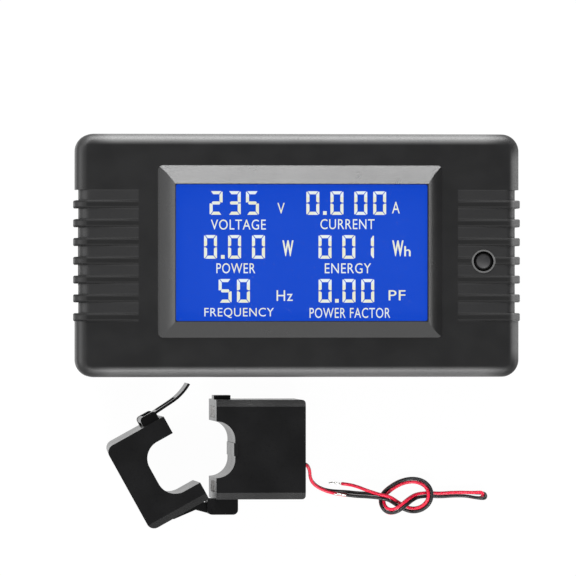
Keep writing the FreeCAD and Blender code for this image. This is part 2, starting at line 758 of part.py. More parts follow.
def terminals():
    face = -CASE_HEIGHT / 2
    back = face + TERMINAL_DEPTH
    half = terminal_span()
    ledge_low = TERMINAL_SINK + SCREW_HEAD_HEIGHT + TERMINAL_MARGIN
    bay_low = ledge_low + LEDGE
    fixed = SLIDE_FIT + CAGE_NUT + 2 * CONTACT_GAP + CONTACT_THICKNESS + CAGE_WALL + SLIDE_FIT
    wire_room = (BOARD_BOTTOM - TERMINAL_ROOF - bay_low - fixed) / (1 + CLAMP_SHARE)
    travel = CLAMP_SHARE * wire_room
    nut_low = bay_low + SLIDE_FIT + travel
    nut_high = nut_low + CAGE_NUT
    tip = nut_high + CONTACT_GAP
    contact_low = tip + CONTACT_GAP
    contact_high = contact_low + CONTACT_THICKNESS
    cage_floor = contact_high + wire_room
    cage_high = cage_floor + CAGE_WALL
    bay_half = TERMINAL_PITCH / 2 - TERMINAL_WALL
    cage_half = bay_half - SLIDE_FIT
    slot_half = bay_half - CAGE_WALL - SLIDE_FIT
    mouth = face + TERMINAL_MOUTH
    middle_y = mouth + CAGE_LENGTH / 2
    bay_back = back - TERMINAL_BACK
    tail_y = bay_back - CONTACT_TAIL - FIT
    block_body = box(-half, half, face, back, TERMINAL_SINK, BOARD_BOTTOM)
    cuts = []
    contacts = []
    for i, x in enumerate(bay_middles()):
        left = x - slot_half
        right = x + slot_half
        cuts.append(
            box(x - bay_half, x + bay_half, face - PAST, bay_back, bay_low, cage_high + SLIDE_FIT)
        )
        cuts.append(rod(SCREW_HEAD / 2 + SLIDE_FIT, TERMINAL_SINK - PAST, ledge_low, x, middle_y))
        cuts.append(rod(SCREW_SHANK / 2 + SLIDE_FIT, TERMINAL_SINK, bay_low + PAST, x, middle_y))
        cuts.append(
            box(left - FIT, right + FIT, tail_y - FIT, bay_back, contact_low, BOARD_BOTTOM + PAST)
        )
        bar = box(left, right, mouth - CONTACT_GAP, bay_back - FIT, contact_low, contact_high)
        leg = box(left, right, tail_y, bay_back - FIT, contact_low, BOARD_BOTTOM)
        contacts.append(joined([bar, leg]))
        cage = box(x - cage_half, x + cage_half, mouth, mouth + CAGE_LENGTH, nut_low, cage_high)
        gap_half = cage_half - CAGE_WALL
        cage = cage.cut(
            [
                box(
                    x - gap_half,
                    x + gap_half,
                    mouth - PAST,
                    mouth + CAGE_LENGTH + PAST,
                    nut_high,
                    cage_floor,
                ),
                rod(SCREW_SHANK / 2 + RUNNING, nut_low - PAST, nut_high + SUNK, x, middle_y),
            ]
        )
        save("terminal_cage_%d" % (i + 1), cage)
        drive = screw(
            SCREW_SHANK,
            tip - ledge_low,
            SCREW_HEAD,
            SCREW_HEAD_HEIGHT,
            ledge_low,
            x,
            middle_y,
            False,
        )
        save("terminal_screw_%d" % (i + 1), drive)
    print("terminals: wire room %.2f, cage travel %.2f" % (wire_room, travel))
    save("terminal_block", block_body.cut(cuts))
    save("terminal_contacts", Part.makeCompound(contacts))


# Components on the board's rear side

def hung(width, height, tall, place, radius=0.3):
    """A part soldered under the board, as a box with soft upright edges."""
    return plate(width, height, radius, BOARD_BOTTOM - tall, BOARD_BOTTOM, *place)


def on_board(share_x, share_y):
    """A place on the board, as shares of its half width and half height."""
    margin = CASE_WALL + BOARD_MARGIN
    return (share_x * (CASE_WIDTH / 2 - margin), share_y * (CASE_HEIGHT / 2 - margin))


def lying(radius, length, place, ahead):
    """A cylinder that lies just under the board, with its middle at the place."""
    start = V(place[0], place[1], BOARD_BOTTOM - radius) - ahead * (length / 2)
    return Part.makeCylinder(radius, length, start, ahead)


def chip(width, height, tall, count, place):
    """A chip with a row of gull-wing legs along both long sides."""
    pieces = [hung(width, height, tall, place, CHIP_CORNER)]
    pitch = width / count
    for side in (-1, 1):
        for i in range(count):
            x = place[0] + pitch * (i - (count - 1) / 2)
            y = place[1] + side * (height + LEG_OUT) / 2
            foot = (x, y)
            pieces.append(hung(pitch * LEG_SHARE, LEG_RUN, LEG_RISE, foot, LEG_CORNER))
    return joined(pieces)


def components():
    """Each size is the real part's own, and each place is a share of the board."""
    tall = BOARD_BOTTOM - CASE_FLOOR - HEADROOM
    film_x = -(STANDOFF_X - BOARD_HEAD / 2 - FILM_GAP - FILM_WIDTH / 2)
    film_y = on_board(0, 0.67)[1]
    save("x2_capacitor", hung(FILM_WIDTH, FILM_HEIGHT, tall, (film_x, film_y), 0.5))
    can = rod(CAN_DIAMETER / 2, BOARD_BOTTOM - tall, BOARD_BOTTOM, *on_board(0.617, 0.541))
    rim = edges_at(can, lambda p: p.z < BOARD_BOTTOM - PAST)
    save("electrolytic_capacitor", can.makeFillet(0.5, rim))
    x, y = on_board(-0.718, -0.232)
    disc_z = BOARD_BOTTOM - VARISTOR_DIAMETER / 2 - VARISTOR_LEGS
    disc = Part.makeCylinder(
        VARISTOR_DIAMETER / 2, VARISTOR_THICKNESS, V(x, y - VARISTOR_THICKNESS / 2, disc_z), V(0, 1, 0)
    )
    neck = block(4, VARISTOR_THICKNESS * 0.65, disc_z, BOARD_BOTTOM, x, y)
    save("varistor", joined([disc, neck]))
    save("fuse_resistor", lying(FUSE_DIAMETER / 2, FUSE_LENGTH, on_board(-0.705, 0.031), V(1, 0, 0)))
    drum_foot = BOARD_BOTTOM - INDUCTOR_HEIGHT
    save("inductor", rod(INDUCTOR_DIAMETER / 2, drum_foot, BOARD_BOTTOM, *on_board(0.63, -0.206)))
    place = on_board(-0.076, 0.258)
    save("metering_chip", chip(METERING_LENGTH, METERING_WIDTH, METERING_HEIGHT, METERING_LEGS, place))
    place = on_board(0.327, -0.077)
    legs = CONTROLLER_LEGS
    save("controller_chip", chip(CONTROLLER_LENGTH, CONTROLLER_WIDTH, CONTROLLER_HEIGHT, legs, place))
    place = on_board(0.327, 0.412)
    save("memory_chip", chip(MEMORY_LENGTH, MEMORY_WIDTH, MEMORY_HEIGHT, MEMORY_LEGS, place))
    place = on_board(-0.063, 0.696)
    can_corner = CRYSTAL_WIDTH / 2 - 0.1
    save("crystal", hung(CRYSTAL_LENGTH, CRYSTAL_WIDTH, CRYSTAL_HEIGHT, place, can_corner))
    place = on_board(-0.416, 0.103)
    save("bridge_rectifier", hung(BRIDGE_WIDTH, BRIDGE_LENGTH, BRIDGE_HEIGHT, place))
    small = []
    for i in range(ROW_COUNT):
        x, y = on_board(-0.227, -0.335)
        small.append(hung(2, 1.25, 0.6, (x + ROW_PITCH * i, y), LEG_CORNER))
    for i in range(COLUMN_COUNT):
        x, y = on_board(0.466, 0.258)
        small.append(hung(1.25, 2, 0.6, (x, y + COLUMN_PITCH * i), LEG_CORNER))
    save("small_resistors", Part.makeCompound(small))


# Current transformer. Everything is made in its own frame and put in place at the end.

def to_place(shape):
    moved = shape.copy()
    moved.translate(V(CT_X, CT_Y, 0))
    return moved


def opened(shape):
    """Turns a piece of the closed jaw about the hinge pin to where the jaw stands open."""
    moved = shape.copy()
    moved.rotate(V(0, -PIN_DROP, 0), V(0, 0, 1), OPEN_ANGLE)
    return moved


def hole(depth):
    """The conductor's hole as far as that depth from the split, with its corners rounded."""
    radius = min(HOLE_RADIUS, depth - SUNK)
    return plate(2 * depth, HOLE_HEIGHT, radius, -PAST, CT_DEPTH + PAST)


def core(reach, yoke_x, side, face_x):
    """A C of stacked sheet: two legs that end at the split, joined by a yoke."""
    legs = []
    for sign in (-1, 1):
        low, high = sorted((sign * CORE_INNER, sign * CORE_OUTER))
        x0, x1 = sorted((face_x, side * reach))
        legs.append(box(x0, x1, low, high, CORE_LOW, CORE_HIGH))
    x0, x1 = sorted((side * yoke_x, side * reach))
    legs.append(box(x0, x1, -CORE_OUTER, CORE_OUTER, CORE_LOW, CORE_HIGH))
    return joined(legs)


def leg_channels(x0, x1):
    room = []
    for sign in (-1, 1):
        low, high = sorted((sign * (CORE_INNER - FIT), sign * (CORE_OUTER + FIT)))
        room.append(box(x0, x1, low, high, CORE_LOW - FIT, CORE_HIGH + FIT))
    return room


def bevelled(shape, low_y, high_y, both):
    """The shape with the front's lower long edge, or both of them, cut back to a narrow slope."""
    upper = CT_BEVEL if both else 0.0
    upper_drop = CT_BEVEL_DROP if both else 0.0
    start = -JAW_WIDTH - PAST
    points = [
        V(start, low_y, 0),
        V(start, high_y, 0),
        V(start, high_y, CT_DEPTH - upper_drop),
        V(start, high_y - upper, CT_DEPTH),
        V(start, low_y + CT_BEVEL, CT_DEPTH),
        V(start, low_y, CT_DEPTH - CT_BEVEL_DROP),
    ]
    if not both:
        del points[3]
    return shape.common(prism(points, V(JAW_WIDTH + CT_WIDTH + 2 * PAST, 0, 0)))


def ct_body():
    half = CT_HEIGHT / 2
    reach = YOKE_X + LEG
    room_x = BODY_HOLE + HOLE_WALL
    outer = box(0, CT_WIDTH, -half, half, 0, CT_DEPTH)
    corners = edges_at(outer, lambda p: p.x > CT_WIDTH - 1e-6)
    corners = [e for e in corners if abs(e.tangentAt(e.FirstParameter).z) > 0.9]
    outer = outer.makeFillet(CT_CORNER, corners)
    outer = bevelled(outer, -half, half, True)
    notch = hole(BODY_HOLE)
    room = [
        box(room_x, CT_WIDTH - CT_WALL, -CORE_OUTER - FIT, CORE_OUTER + FIT, CT_WALL, LID_Z)
    ] + leg_channels(-PAST, room_x + PAST)
    over = block(3 * CT_WIDTH, 2 * CT_HEIGHT, LID_Z, CT_DEPTH + PAST)
    under = block(3 * CT_WIDTH, 2 * CT_HEIGHT, -PAST, LID_Z)
    shell = outer.cut([notch, over] + room)
    lid = outer.cut([notch, under])
    lip_left = room_x + LID_LIP
    lip_right = CT_WIDTH - CT_WALL - FIT
    lip_half = CORE_OUTER - LID_LIP_WALL
    lip = box(lip_left, lip_right, -CORE_OUTER, CORE_OUTER, LID_Z - LID_LIP, LID_Z)
    lip = lip.cut(
        box(
            lip_left + LID_LIP_WALL,
            lip_right - LID_LIP_WALL,
            -lip_half,
            lip_half,
            LID_Z - PAST,
            LID_Z + PAST,
        )
    )
    cheek_low = LUG_Z - ARM_THICKNESS / 2 - SLIDE_FIT - CHEEK
    cheek_high = LUG_Z + ARM_THICKNESS / 2 + SLIDE_FIT + CHEEK
    lug = box(LUG_LEFT, LUG_RIGHT, -half - LUG_DROP, -half, cheek_low, cheek_high)
    low_corners = edges_at(lug, lambda p: p.y < -half - LUG_DROP + 1e-6)
    low_corners = [e for e in low_corners if abs(e.tangentAt(e.FirstParameter).z) > 0.9]
    lug = lug.makeFillet(LUG_CORNER, low_corners)
    slot_low = LUG_Z - ARM_THICKNESS / 2 - SLIDE_FIT
    slot_high = LUG_Z + ARM_THICKNESS / 2 + SLIDE_FIT
    slot_right = EYE_RADIUS + 2 * SLIDE_FIT
    slot = box(LUG_LEFT - PAST, slot_right, -half - LUG_DROP - 1, -half, slot_low, slot_high)
    bore = rod(PIN_RADIUS + RUNNING, cheek_low - PAST, cheek_high + PAST, 0, -PIN_DROP)
    lug = lug.cut([slot, bore])
    catch = box(0.0, CATCH_LENGTH, half - SUNK, half + CATCH_RISE, CATCH_LOW, CATCH_HIGH)
    save("ct_body_shell", to_place(joined([shell, lug, catch])))
    save("ct_body_cover", to_place(joined([lid, lip])))
    tab_x = BODY_HOLE - TAB_PROUD
    tab_half = TAB_HEIGHT / 2
    tab_top = CT_DEPTH + TAB_PROUD
    tab = box(tab_x, BODY_HOLE + TAB_WIDTH, -tab_half, tab_half, CT_DEPTH, tab_top)
    strip = box(tab_x, BODY_HOLE, -tab_half, tab_half, CT_LID, CT_DEPTH)
    save("ct_window_tab", to_place(joined([tab, strip])))
    save("ct_core_fixed", to_place(core(reach, YOKE_X, 1, 0.0)))
    length = 2 * (CORE_INNER - FIT - SLIDE_FIT)
    tube = box(
        YOKE_X - BOBBIN_WALL,
        reach + BOBBIN_WALL,
        -length / 2,
        length / 2,
        CORE_LOW - BOBBIN_WALL,
        CORE_HIGH + BOBBIN_WALL,
    )
    flange_reach = BOBBIN_WALL + WINDING_BUILD
    for sign in (-1, 1):
        low, high = sorted((sign * length / 2, sign * (length / 2 - BOBBIN_CHEEK)))
        tube = joined(
            [
                tube,
                box(
                    YOKE_X - flange_reach,
                    reach + flange_reach,
                    low,
                    high,
                    CORE_LOW - flange_reach,
                    CORE_HIGH + flange_reach,
                ),
            ]
        )
    bore = box(YOKE_X - FIT, reach + FIT, -length, length, CORE_LOW - FIT, CORE_HIGH + FIT)
    save("ct_bobbin", to_place(tube.cut(bore)))
    wound = length / 2 - BOBBIN_CHEEK - FIT
    thick = BOBBIN_WALL + WINDING_BUILD - SLIDE_FIT
    winding = box(YOKE_X - thick, reach + thick, -wound, wound, CORE_LOW - thick, CORE_HIGH + thick)
    long_edges = [e for e in winding.Edges if abs(e.tangentAt(e.FirstParameter).y) > 0.9]
    winding = winding.makeFillet(WINDING_CORNER, long_edges)
    inside = BOBBIN_WALL + FIT
    winding = winding.cut(
        box(YOKE_X - inside, reach + inside, -length, length, CORE_LOW - inside, CORE_HIGH + inside)
    )
    save("ct_winding", to_place(winding))
    pin = rod(PIN_RADIUS, cheek_low, cheek_high, 0, -PIN_DROP)
    save("ct_hinge_pin", to_place(pin))


def ct_jaw():
    half = JAW_HEIGHT / 2
    face = -SPLIT_GAP
    reach = JAW_YOKE_X + LEG
    back_room = reach + CORE_SPRING + 2 * FIT
    outer = prism(
        [
            V(face, -half, 0),
            V(face, -half, CT_DEPTH),
            V(-JAW_WIDTH, -half, CT_DEPTH),
            V(-JAW_WIDTH + JAW_DRAFT, -half, 0),
        ],
        V(0, 2 * half, 0),
    )
    corners = edges_at(outer, lambda p: p.x < -JAW_WIDTH + JAW_DRAFT + 1e-6)
    corners = [e for e in corners if abs(e.tangentAt(e.FirstParameter).z) > 0.9]
    outer = outer.makeFillet(JAW_CORNER, corners)
    outer = bevelled(outer, -half, half, False)
    notch = hole(JAW_HOLE)
    room_x = JAW_HOLE + HOLE_WALL
    room = [
        box(-back_room, -room_x, -CORE_OUTER - FIT, CORE_OUTER + FIT, CORE_LOW - FIT, LID_Z)
    ] + leg_channels(-room_x - PAST, PAST)
    over = block(3 * JAW_WIDTH, 2 * JAW_HEIGHT, LID_Z, CT_DEPTH + PAST)
    under = block(3 * JAW_WIDTH, 2 * JAW_HEIGHT, -PAST, LID_Z)
    shell = outer.cut([notch, over] + room)
    lid = outer.cut([notch, under])
    arm_low = LUG_Z - ARM_THICKNESS / 2
    arm_high = LUG_Z + ARM_THICKNESS / 2
    eye = rod(EYE_RADIUS, arm_low, arm_high, 0, -PIN_DROP)
    arm = prism(
        [
            V(-ARM_LENGTH, -half + SUNK, arm_low),
            V(-ARM_LENGTH, -half - 0.6, arm_low),
            V(-3.2, -half - 1.1, arm_low),
            V(-0.55, -PIN_DROP - 0.95, arm_low),
            V(0.35, -PIN_DROP + 1.0, arm_low),
            V(-1.6, -half + SUNK, arm_low),
        ],
        V(0, 0, ARM_THICKNESS),
    )
    bore = rod(PIN_RADIUS + RUNNING, arm_low - PAST, arm_high + PAST, 0, -PIN_DROP)
    root_y = half + STRAP_ROOT_RISE
    ears = []
    ear_gap = STRAP_WIDTH / 2 + SLIDE_FIT
    for sign in (-1, 1):
        low, high = sorted((STRAP_Z + sign * ear_gap, STRAP_Z + sign * (ear_gap + EAR_THICKNESS)))
        left = STRAP_ROOT_X - EAR_RADIUS
        right = left + EAR_LENGTH
        ear = box(left, right, half - SUNK, root_y + EAR_RADIUS, low, high)
        rounded = edges_at(ear, lambda p: p.y > root_y + EAR_RADIUS - 1e-6)
        rounded = [e for e in rounded if abs(e.tangentAt(e.FirstParameter).z) > 0.9]
        ears.append(ear.makeFillet(EAR_RADIUS - SUNK, rounded))
    pin_half = ear_gap + EAR_THICKNESS - PIN_COVER
    bore_half = pin_half + SLIDE_FIT
    ear_bore = rod(STRAP_PIN + RUNNING, STRAP_Z - bore_half, STRAP_Z + bore_half, STRAP_ROOT_X, root_y)
    whole = joined([shell, arm, eye] + ears).cut([bore, ear_bore])
    save("ct_jaw_shell", to_place(opened(whole)))
    save("ct_jaw_cover", to_place(opened(lid)))
    save("ct_core_moving", to_place(opened(core(reach, JAW_YOKE_X, -1, face))))
    leaf_back = reach + CORE_SPRING + FIT
    leaf_low = CORE_LOW + SPRING_INSET
    bow = [
        V(-leaf_back, -SPRING_HALF, leaf_low),
        V(-leaf_back + SPRING_LEAF, -SPRING_HALF, leaf_low),
        V(-reach - FIT, 0, leaf_low),
        V(-leaf_back + SPRING_LEAF, SPRING_HALF, leaf_low),
        V(-leaf_back, SPRING_HALF, leaf_low),
        V(-reach - FIT - SPRING_LEAF, 0, leaf_low),
    ]
    spring = prism(bow, V(0, 0, CORE_DEPTH - 2 * SPRING_INSET))
    save("ct_core_spring", to_place(opened(spring)))
    pin = rod(STRAP_PIN, STRAP_Z - pin_half, STRAP_Z + pin_half, STRAP_ROOT_X, root_y)
    save("ct_latch_pin", to_place(opened(pin)))
    save("ct_latch_strap", to_place(opened(strap(root_y))))


def strap(root_y):
    """The latch: an eye round its pin, two rails round an open loop, and a curled finger tab."""
    low = STRAP_Z - STRAP_WIDTH / 2
    half = STRAP_THICKNESS / 2
    curl = math.radians(STRAP_CURL)
    bend = STRAP_TAB / math.sin(curl)
    flat_end = V(STRAP_FLAT, 0, 0)
    centre = flat_end + V(0, bend, 0)

    def on_curl(radius, share):
        angle = curl * share
        return centre + V(radius * math.sin(angle), -radius * math.cos(angle), 0)

    under = bend + half
    over = bend - half
    edges = [
        Part.LineSegment(V(0, -half, 0), V(STRAP_FLAT, -half, 0)).toShape(),
        Part.Arc(on_curl(under, 0), on_curl(under, 0.5), on_curl(under, 1)).toShape(),
        Part.LineSegment(on_curl(under, 1), on_curl(over, 1)).toShape(),
        Part.Arc(on_curl(over, 1), on_curl(over, 0.5), on_curl(over, 0)).toShape(),
        Part.LineSegment(V(STRAP_FLAT, half, 0), V(0, half, 0)).toShape(),
        Part.LineSegment(V(0, half, 0), V(0, -half, 0)).toShape(),
    ]
    leaf = Part.Face(Part.Wire(edges)).extrude(V(0, 0, STRAP_WIDTH))
    loop_end = LOOP_START + LOOP_LENGTH
    loop = box(LOOP_START, loop_end, -PAST, PAST, STRAP_RAIL, STRAP_WIDTH - STRAP_RAIL)
    eye = rod(STRAP_EYE, 0, STRAP_WIDTH)
    whole = joined([leaf, eye])
    whole = whole.cut([loop, rod(STRAP_PIN + RUNNING, -PAST, STRAP_WIDTH + PAST)])
    whole.rotate(V(0, 0, 0), V(0, 0, 1), STRAP_SLOPE)
    whole.translate(V(STRAP_ROOT_X, root_y, low))
    return whole


# Leads

BUNDLE_LOW = 0.79  # height of the bundle's middle where it lies on the table
BUNDLE_HIGH = 2.86  # and where it passes over another stretch of itself
BUNDLE_MID = 1.82  # and half way up

# From the gland to the knot, as places of the bundle's middle from the knot's middle, and heights
LEAD_IN = [
    (-22.17, 6.6, 2.9),
    (-20.98, 6.6, 2.9),
    (-20.3, 5.35, 2.45),
    (-20.2, 4.0, 1.75),
    (-19.7, 2.85, 1.05),
    (-18.55, 1.85, BUNDLE_LOW),
    (-16.9, 1.1, BUNDLE_LOW),
    (-14.9, 0.7, BUNDLE_LOW),
    (-12.6, 0.5, BUNDLE_LOW),
    (-10.6, 0.25, 1.0),
    (-8.9, 0.2, 1.7),
]
# Round the knot: out over the descending side, under the return, round the right, over the top,
# down the left, round the lower left, over the outward stretch and on to the folded end
KNOT = [
    (-7.4, 0.1, 2.5),
    (-6.0, -0.05, BUNDLE_HIGH),
    (-4.15, -0.45, BUNDLE_HIGH),
    (-3.2, -0.95, BUNDLE_MID),
    (-2.35, -1.5, BUNDLE_LOW),
    (-0.75, -2.5, BUNDLE_LOW),
    (1.1, -3.05, 0.95),
    (3.0, -2.5, 1.9),
    (4.3, -1.0, BUNDLE_HIGH),
    (4.45, 1.0, BUNDLE_HIGH),
    (3.4, 2.6, BUNDLE_MID),
    (1.3, 3.3, BUNDLE_LOW),
    (-1.2, 2.9, BUNDLE_LOW),
    (-3.4, 1.7, BUNDLE_LOW),
    (-5.1, 0.2, BUNDLE_LOW),
    (-5.4, -1.6, BUNDLE_LOW),
    (-4.4, -3.15, BUNDLE_MID),
    (-2.6, -3.1, BUNDLE_HIGH),
    (-0.55, -1.4, BUNDLE_HIGH),
    (0.75, -0.5, BUNDLE_MID),
    (2.1, 0.08, BUNDLE_LOW),
    (4.4, 0.25, BUNDLE_LOW),
    (6.6, 0.1, BUNDLE_LOW),
    (9.2, 0.3, BUNDLE_LOW),
    (12.0, 0.3, BUNDLE_LOW),
]
# The folds at the hank's end, the black one just past the red one
FOLDS = {
    "red": [(13.8, -0.65, 0.38), (15.4, -0.75, 0.38), (15.4, 0.85, 1.8), (13.8, 0.75, 1.8)],
    "black": [(14.5, 0.85, 0.38), (16.2, 0.85, 0.38), (16.2, -0.75, 1.8), (14.5, -0.65, 1.8)],
}
# The free red end, from the knot's left to its tip. The free black end stays in its lane
RED_END = [
    (-8.6, 1.15, 2.5),
    (-10.4, 1.9, 1.2),
    (-12.2, 2.35, 0.45),
    (-13.6, 2.48, 0.40),
]
RED_KNOT_COUNT = 1  # points of the knot's start that the free red end doesn't follow back
BLACK_LANE_COUNT = 3  # points of the way in that the free black end follows
LEAD_SCALE = LEAD_DIAMETER / 0.68  # a knot in thicker leads is larger
KNOT_X = CT_X + CT_WIDTH + GLAND_PROUD - LEAD_IN[0][0] * LEAD_SCALE
KNOT_Y = CT_Y + GLAND_Y - LEAD_IN[0][1] * LEAD_SCALE


def route(points):
    return [V(KNOT_X, KNOT_Y, 0) + V(*point) * LEAD_SCALE for point in points]


def lane(points, side, up):
    """The route shifted sideways and upwards by fixed amounts, square to it at each point."""
    shifted = []
    for i, here in enumerate(points):
        before = here - points[i - 1] if i else points[1] - here
        after = points[i + 1] - here if i + 1 < len(points) else before
        before = before.normalize()
        after = V(after).normalize()
        ahead = (before + after).normalize()
        left = V(0, 0, 1).cross(ahead).normalize()
        above = ahead.cross(left)
        left_before = V(0, 0, 1).cross(before).normalize()
        above_before = before.cross(left_before)
        wide = 1 / left.dot(left_before)
        tall = 1 / above.dot(above_before)
        shifted.append(here + left * (side * wide) + above * (up * tall))
    return shifted


def lead_routes():
    """Red and black: out along the bundle, round the knot, folded at the hank's end and back."""
    step = LANE_PITCH / 2
    both = route(LEAD_IN + KNOT)
    start = len(LEAD_IN)
    ways = {}
    for name, side in (("red", -step), ("black", step)):
        out = lane(both, side, -step)
        out[0] = V(out[0].x, out[1].y, out[1].z)
        back = lane(both, -side, step)
        leaves = start + RED_KNOT_COUNT if name == "red" else start - BLACK_LANE_COUNT
        end = route(RED_END) if name == "red" else []
        ways[name] = out + route(FOLDS[name]) + back[leaves:][::-1] + end
    return ways


def rounded_path(points):
    """Straight runs joined by tangent arcs, each as large as its runs allow: edges and radii."""
    edges = []
    radii = []
    start = points[0]
    for i in range(1, len(points) - 1):
        before = points[i] - points[i - 1]
        after = points[i + 1] - points[i]
        shorter = min(before.Length, after.Length)
        turn = before.getAngle(after)
        radius = 0.45 * shorter / math.tan(turn / 2)
        trim = 0.45 * shorter
        back = V(before).normalize()
        on = V(after).normalize()
        first = points[i] - back * trim
        last = points[i] + on * trim
        inward = (on - back).normalize()
        middle = points[i] + inward * (radius / math.cos(turn / 2) - radius)
        edges.append(Part.LineSegment(start, first).toShape())
        edges.append(Part.Arc(first, middle, last).toShape())
        radii.append(radius)
        start = last
    edges.append(Part.LineSegment(start, points[-1]).toShape())
    return edges, radii


def tube(points, diameter):
    edges, radii = rounded_path(points)
    spine = Part.Wire(edges)
    ahead = points[1] - points[0]
    ring = Part.Wire([Part.Circle(points[0], ahead, diameter / 2).toShape()])
    shell = spine.makePipeShell([ring], True, False)
    return shell, spine, min(radii)


def own_gap(spine, diameter):
    """The least gap between two stretches of one tube over four diameters apart along it."""
    step = diameter / 4
    points = spine.discretize(Distance=step)
    apart = int(4 * diameter / step)
    least = 99.0
    for i, here in enumerate(points):
        for j in range(i + apart, len(points)):
            least = min(least, here.distanceToPoint(points[j]))
    return least - diameter


def leads():
    section = math.pi * LEAD_DIAMETER**2 / 4
    for name, way in lead_routes().items():
        solid, spine, radius = tube(way, LEAD_DIAMETER)
        share = solid.Volume / (section * spine.Length)
        gap = own_gap(spine, LEAD_DIAMETER)
        print("ct_lead_%s: length %.1f, least radius %.2f" % (name, spine.Length, radius))
        print("volume over section times length %.4f, least gap to itself %.3f" % (share, gap))
        save("ct_lead_" + name, solid)
        ahead = (way[-1] - way[-2]).normalize()
        save("ct_tip_" + name, Part.makeCylinder(TIP_DIAMETER / 2, TIP_LENGTH, way[-1], ahead))


def gland():
    x = CT_X + CT_WIDTH
    y = CT_Y + GLAND_Y
    middle = LEAD_IN[0][2] * LEAD_SCALE - LANE_PITCH / 2
    low = middle - GLAND_HEIGHT / 2
    high = middle + GLAND_HEIGHT / 2
    grommet = box(x, x + GLAND_PROUD, y - GLAND_WIDTH / 2, y + GLAND_WIDTH / 2, low, high)
    save("ct_lead_grommet", grommet)


os.makedirs("parts", exist_ok=True)
front_shell()
display()
button()
rear_case()
fasteners()
main_board()
save("snap_left", tongue(-1))
save("snap_right", tongue(1))
terminals()
components()
ct_body()
ct_jaw()
leads()
gland()
print(len(CREATED), "sub-parts")
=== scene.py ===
# %% [markdown]
# This scene dresses a panel power meter and the split-core current transformer that belongs to it.
# The solids come from the CAD model, in metres: the meter lies on its back with its origin in the
# middle of its rear face, and the transformer lies open in front of it. Blender adds what a solid
# cannot say: grain, print, light, stranded wire, and the glow of the display.

# %% Load the solids
import json
import math
import bpy
import numpy as np
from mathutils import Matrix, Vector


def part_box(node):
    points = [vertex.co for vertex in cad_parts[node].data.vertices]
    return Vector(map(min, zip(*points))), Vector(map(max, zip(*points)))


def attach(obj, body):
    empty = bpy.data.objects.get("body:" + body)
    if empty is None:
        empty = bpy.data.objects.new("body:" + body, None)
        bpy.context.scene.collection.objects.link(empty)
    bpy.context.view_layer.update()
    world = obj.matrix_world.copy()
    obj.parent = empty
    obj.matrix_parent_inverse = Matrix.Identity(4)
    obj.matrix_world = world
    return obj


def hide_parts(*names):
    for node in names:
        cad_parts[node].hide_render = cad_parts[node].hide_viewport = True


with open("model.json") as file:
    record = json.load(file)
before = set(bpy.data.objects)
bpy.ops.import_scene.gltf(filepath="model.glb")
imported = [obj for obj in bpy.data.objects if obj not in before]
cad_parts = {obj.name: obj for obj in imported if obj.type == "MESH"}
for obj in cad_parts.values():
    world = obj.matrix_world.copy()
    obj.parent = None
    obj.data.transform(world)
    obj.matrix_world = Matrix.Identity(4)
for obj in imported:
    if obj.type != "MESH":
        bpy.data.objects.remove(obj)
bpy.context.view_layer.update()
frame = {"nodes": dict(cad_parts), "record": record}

MM = 0.001
nodes = frame["nodes"]

# %% [markdown]
# The picture is taken from almost straight above, turned five degrees to the left, from so far
# away that the sides hardly converge. A long lens at one and a half metres does that. The lens
# follows from the scale that the picture should have, in pixels per metre at the meter's face.

# %% Camera
PICTURE = 576
PIXELS_PER_METRE = 4964
TURN = math.radians(5)
DISTANCE = 1.5
SENSOR = 36
AIM = np.array([-2.15, -6.55, 22.4]) * MM
towards_camera = np.array([-math.sin(TURN), 0, math.cos(TURN)])
camera = bpy.data.objects.new("camera", bpy.data.cameras.new("camera"))
camera.data.sensor_width = SENSOR
camera.data.lens = SENSOR * DISTANCE * PIXELS_PER_METRE / PICTURE
camera.data.clip_end = 10
camera.location = AIM + towards_camera * DISTANCE
camera.rotation_euler = (0, -TURN, 0)
bpy.context.scene.collection.objects.link(camera)
bpy.context.scene.camera = camera
print("lens %.0f mm at %.1f m" % (camera.data.lens, DISTANCE))

# %% [markdown]
# The two leads leave the transformer one on the other, red on top, and are tied in one loose
# overhand knot with the rest of their length, which is folded once and comes back. So each lead
# passes through the knot twice, and the four passes lie as two over two. The route below is the
# bundle's middle, in millimetres from the knot's middle, and each pass keeps its own lane beside
# it. A smooth spline with the solid's control points gives the soft curves of thin insulated wire.
# Its points carry the tube's radius, which keeps the curve's bounds true.

